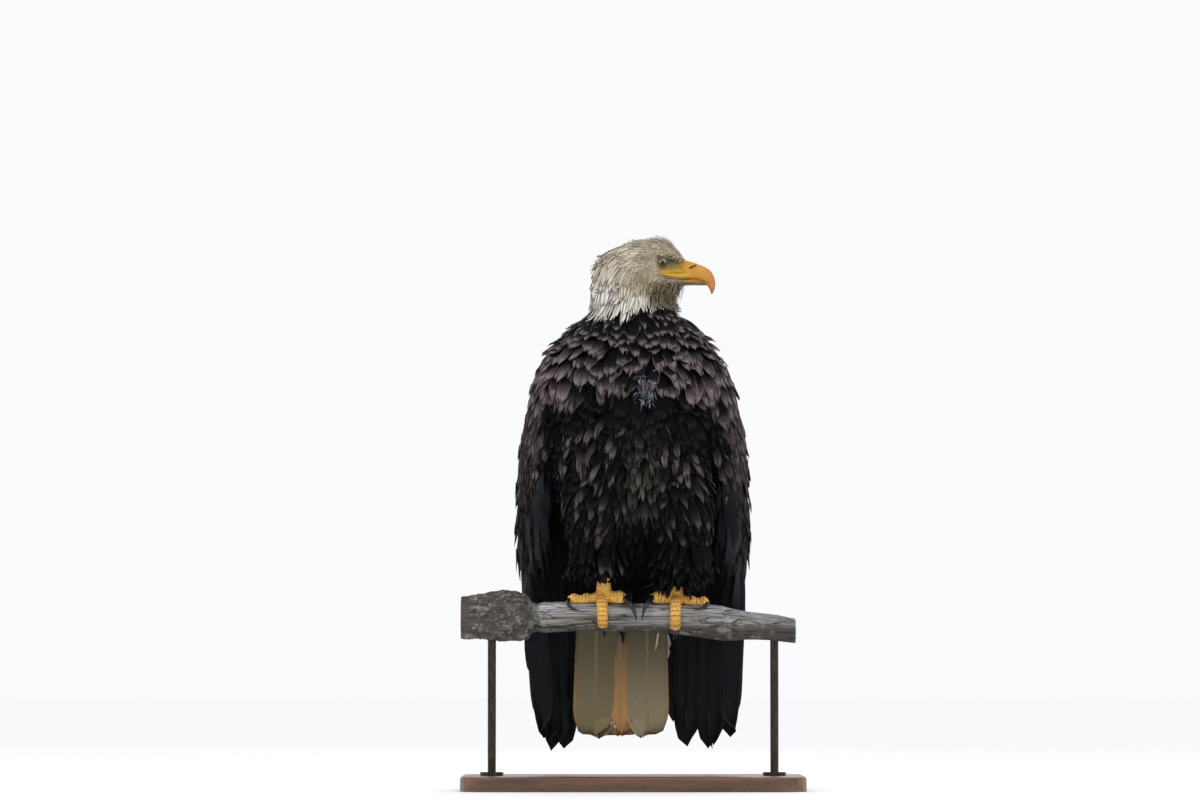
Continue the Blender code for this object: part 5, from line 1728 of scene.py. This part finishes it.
def make_branch():
    """The branch: smooth grey wood with two splits, and rough bark left on its thick end."""
    mesh = refined(["perch"], 0.0019, 3)
    points, normals = mesh_points(mesh), mesh_normals(mesh)
    x, y, z = points.T
    edge = waves(np.column_stack([np.zeros(len(x)), y, z]), 0.020, 4.0) * 0.014
    bark = ramp(x + edge, -0.146, -0.150)
    ends = ramp(np.abs(normals[:, 0]), 0.9, 0.7)
    lumps = waves(points * (0.5, 1, 1), 0.018, 1.0) * 0.0011
    lumps = lumps + waves(points * (0.25, 1, 1), 0.0060, 2.0) * 0.0006
    ridges = -np.abs(waves(points * (0.45, 1, 1), 0.0085, 5.0)) * 0.0060 + waves(points, 0.0035, 6.0) * 0.0014
    relief = mix(lumps, ridges + 0.0012, bark) - 0.0035 * (1 - bark) * ramp(x, -0.128, -0.140)
    split_z = 0.2385 + 0.0016 * np.sin(x * 70) + 0.06 * (x + 0.09)
    split = stripe(z - split_z, 0.0015) * ramp(x, -0.146, -0.138) * ramp(x, -0.040, -0.052)
    split = split * ramp(-normals[:, 1], 0.2, 0.5)
    knot_z = 0.2440 + 0.0012 * np.sin(x * 160) - 0.10 * (x - 0.10)
    knot = stripe(z - knot_z, 0.0012) * ramp(x, 0.082, 0.090) * ramp(x, 0.150, 0.138)
    split = np.maximum(split, 0.8 * knot * ramp(-normals[:, 1], 0.2, 0.5))
    relief = (relief - 0.0045 * split) * ends
    under_feet = ramp(np.abs(np.abs(x) - 0.055), 0.075, 0.060)
    relief = np.where(relief > 0, relief * (1 - under_feet), relief)
    set_points(mesh, points + normals * relief[:, None])
    wood, brown, crust, crevice_shade, lichen, cut = palette(
        "8F8D8B", "64584F", "4A433D", "26211E", "B9B7AF", "9C876C"
    )
    tint = mix(np.broadcast_to(wood, points.shape), np.broadcast_to(crust, points.shape), bark)
    tint = mix(tint, brown, 0.5 * ramp(waves(points * (0.3, 1, 1), 0.030, 9.0), 0.15, 0.45))
    # A painted highlight of sky light along the branch's top.
    tint = mix(tint, linear("BDBEC4"), 0.85 * ramp(z, 0.250, 0.266) * (1 - bark))
    # Painted shade along the branch's underside.
    tint = mix(tint, linear("2C2824"), 0.9 * ramp(z, 0.248, 0.231) * (1 - bark))
    stain = ramp(waves(points * (0.4, 1, 1), 0.045, 12.0), 0.10, 0.40) * ramp(z, 0.262, 0.248) * (1 - bark)
    tint = mix(tint, linear("6E5A46"), 0.6 * stain)
    # Painted shade in the deep splits and bark furrows.
    tint = mix(tint, crevice_shade, 0.85 * ramp(-relief, 0.0020, 0.0042))
    tint = mix(tint, lichen, 0.6 * bark * ramp(ridges, -0.0006, 0.0006))
    tint = mix(tint, cut, 1 - ends)
    colour_points(mesh, tint)
    add_piece("branch", mesh, [branch_material()], ("perch",))


def finish_stand():
    """Oiled walnut on the base and dark bronzed steel on the rods."""
    # Oiled walnut: a satin dark brown with long flowing figure and fine dark pores.
    walnut = mottled_material(
        "oiled_walnut", 0.38,
        [
            ((0.3300, 0.0290, 0.0290), 5.0, 0.35, 0.65, "6E4A31", 1.0),
            ((0.0250, 0.0011, 0.0011), 3.0, 0.55, 0.72, "24150D", 0.6),
        ],
        (1, 0.15, 0.0003), "3B2416", Coat_Weight=0.2, Coat_Roughness=0.3,
    )
    # Bronzed steel: dark metal, brushed along the rods.
    steel = mottled_material(
        "bronzed_steel", 0.34,
        [((0.0011, 0.0011, 0.0160), 2.0, 0.3, 0.7, "4A413A", 1.0)], (0, 0.08, 0.0002), "2B2622",
        Metallic=1.0,
    )
    for node, material in (("stand_base", walnut), ("stand_rod_left", steel), ("stand_rod_right", steel)):
        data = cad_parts[node].data
        data.materials.clear()
        data.materials.append(material)


# --- Stage ---------------------------------------------------------------------------------


def make_stage(settings):
    """A pale floor, soft studio light and the camera."""
    bm = bmesh.new()
    bmesh.ops.create_grid(bm, x_segments=1, y_segments=1, size=30.0)
    floor = bpy.data.objects.new("floor", mesh_of(bm))
    bpy.context.scene.collection.objects.link(floor)
    pale, _, shader = new_material("pale_floor", 0.8)
    shader.inputs["Base Color"].default_value = (*linear("FDFDFC"), 1.0)
    floor.data.materials.append(pale)
    world = bpy.data.worlds.new("studio")
    bpy.context.scene.world = world
    world.use_nodes = True
    world.node_tree.nodes["Background"].inputs[0].default_value = (*linear("FAFBFD"), 1.0)
    world.node_tree.nodes["Background"].inputs[1].default_value = settings.sky_light
    add_lamp("key", (-1.6, -2.6, 2.6), 1.8, settings.key_light, "FFF7EC")
    add_lamp("fill", (2.4, -2.0, 1.4), 2.0, settings.key_light * 0.35, "EEF3FF")
    add_lamp("back", (0.5, 2.6, 2.4), 1.6, settings.key_light * 0.6, "FFFFFF")
    # A plain tone curve keeps the pale ground white and the dark plumage dark.
    bpy.context.scene.view_settings.view_transform = "Standard"
    camera = bpy.data.cameras.new("camera")
    camera.sensor_width = 36.0
    camera.lens = camera.sensor_width * settings.camera_distance / settings.view_width
    camera.clip_end = 100.0
    holder = bpy.data.objects.new("camera", camera)
    bpy.context.scene.collection.objects.link(holder)
    aim = Vector(settings.camera_aim)
    rise = math.radians(settings.camera_rise)
    away = Vector((0.0, -math.cos(rise), math.sin(rise)))
    holder.location = aim + away * settings.camera_distance
    holder.rotation_euler = (-away).to_track_quat("-Z", "Y").to_euler()
    bpy.context.scene.camera = holder


def add_lamp(name, place, size, power, hex_colour):
    lamp = bpy.data.lights.new(name, "AREA")
    lamp.size = size
    lamp.energy = power
    lamp.color = linear(hex_colour)
    holder = bpy.data.objects.new(name, lamp)
    holder.location = place
    target = (CAD_BOX[0] + CAD_BOX[1]) / 2
    holder.rotation_euler = (target - holder.location).to_track_quat("-Z", "Y").to_euler()
    bpy.context.scene.collection.objects.link(holder)


# --- Settings, operators and panel -----------------------------------------------------------


class EagleCoatSettings(bpy.types.PropertyGroup):
    hackle_length: FloatProperty(
        name="Hackle length", description="Longest white feather on the neck", default=0.035,
        unit="LENGTH"
    )
    hackle_width: FloatProperty(
        name="Hackle width", description="Width of the long white feathers", default=0.0042,
        unit="LENGTH"
    )
    contour_length: FloatProperty(
        name="Contour length", description="Length of a breast feather", default=0.050, unit="LENGTH"
    )
    primary_width: FloatProperty(
        name="Primary width", description="Width of a long wing feather", default=0.034, unit="LENGTH"
    )
    tail_width: FloatProperty(
        name="Tail feather width", description="Width of an outer tail feather", default=0.068,
        unit="LENGTH"
    )


class EagleFaceSettings(bpy.types.PropertyGroup):
    pupil_angle: FloatProperty(
        name="Pupil", description="Half the angle that the pupil takes of the eyeball, in degrees",
        default=13.0
    )


class EagleStageSettings(bpy.types.PropertyGroup):
    sky_light: FloatProperty(
        name="Sky light", description="Strength of the light from all round", default=1.0
    )
    key_light: FloatProperty(
        name="Key light", description="Power of the main lamp", default=24.0, unit="POWER"
    )
    camera_aim: FloatVectorProperty(
        name="Camera aim", description="Point at the middle of the picture",
        default=(-0.048, 0.0, 0.569), subtype="XYZ"
    )
    camera_distance: FloatProperty(
        name="Camera distance", description="From the camera to that point", default=9.0, unit="LENGTH"
    )
    camera_rise: FloatProperty(
        name="Camera rise", description="Degrees that the camera stands above that point", default=-2.5
    )
    view_width: FloatProperty(
        name="View width", description="Width of the picture at that point", default=1.752, unit="LENGTH"
    )


class EagleSkinOperator(bpy.types.Operator):
    """Build the skin under the feathers"""

    bl_idname = "eagle.skin"
    bl_label = "Skin"

    def execute(self, context):
        make_skin()
        return {"FINISHED"}


class EagleHeadCoatOperator(bpy.types.Operator):
    """Grow the white feathers of the head and neck"""

    bl_idname = "eagle.head_coat"
    bl_label = "Head feathers"

    def execute(self, context):
        make_head_coat(context.scene.eagle_coat)
        return {"FINISHED"}


class EagleBodyCoatOperator(bpy.types.Operator):
    """Grow the brown feathers of the body, legs and wings"""

    bl_idname = "eagle.body_coat"
    bl_label = "Body feathers"

    def execute(self, context):
        make_body_coat(context.scene.eagle_coat)
        return {"FINISHED"}


class EagleFlightOperator(bpy.types.Operator):
    """Lay the long feathers of the wings and the tail"""

    bl_idname = "eagle.flight"
    bl_label = "Wing and tail feathers"

    def execute(self, context):
        make_flight_feathers(context.scene.eagle_coat)
        make_tail_feathers(context.scene.eagle_coat)
        return {"FINISHED"}


class EagleFaceOperator(bpy.types.Operator):
    """Build the bill, the cere, the eyes and their lids"""

    bl_idname = "eagle.face"
    bl_label = "Bill and eyes"

    def execute(self, context):
        make_bill()
        make_eyes(context.scene.eagle_face)
        return {"FINISHED"}


class EagleClawsOperator(bpy.types.Operator):
    """Build the claws"""

    bl_idname = "eagle.claws"
    bl_label = "Claws"

    def execute(self, context):
        make_claws()
        return {"FINISHED"}


class EagleStandOperator(bpy.types.Operator):
    """Build the branch and finish the stand"""

    bl_idname = "eagle.stand"
    bl_label = "Branch and stand"

    def execute(self, context):
        make_branch()
        finish_stand()
        return {"FINISHED"}


class EagleStageOperator(bpy.types.Operator):
    """Set the floor, the lights and the camera"""

    bl_idname = "eagle.stage"
    bl_label = "Stage"

    def execute(self, context):
        make_stage(context.scene.eagle_stage)
        return {"FINISHED"}


OPERATORS = (
    EagleSkinOperator,
    EagleHeadCoatOperator,
    EagleBodyCoatOperator,
    EagleFlightOperator,
    EagleFaceOperator,
    EagleClawsOperator,
    EagleStandOperator,
    EagleStageOperator,
)
SETTINGS = {
    "eagle_coat": EagleCoatSettings, "eagle_face": EagleFaceSettings, "eagle_stage": EagleStageSettings
}


class EaglePanel(bpy.types.Panel):
    """Lists the eagle's pieces and their sizes"""

    bl_label = "Bald eagle"
    bl_idname = "VIEW3D_PT_eagle"
    bl_space_type = "VIEW_3D"
    bl_region_type = "UI"
    bl_category = "Eagle"

    def draw(self, context):
        for operator in OPERATORS:
            self.layout.operator(operator.bl_idname)
        for name in SETTINGS:
            group = getattr(context.scene, name)
            for prop in group.bl_rna.properties:
                if prop.identifier not in ("rna_type", "name"):
                    self.layout.prop(group, prop.identifier)


def register():
    for cls in (*SETTINGS.values(), *OPERATORS, EaglePanel):
        bpy.utils.register_class(cls)
    for name, group in SETTINGS.items():
        setattr(bpy.types.Scene, name, PointerProperty(type=group))


def unregister():
    for name in SETTINGS:
        delattr(bpy.types.Scene, name)
    for cls in (EaglePanel, *reversed(OPERATORS), *reversed(SETTINGS.values())):
        bpy.utils.unregister_class(cls)


def main():
    register()
    for operator in OPERATORS:
        category, name = operator.bl_idname.split(".")
        getattr(getattr(bpy.ops, category), name)()


if __name__ == "__main__":
    main()
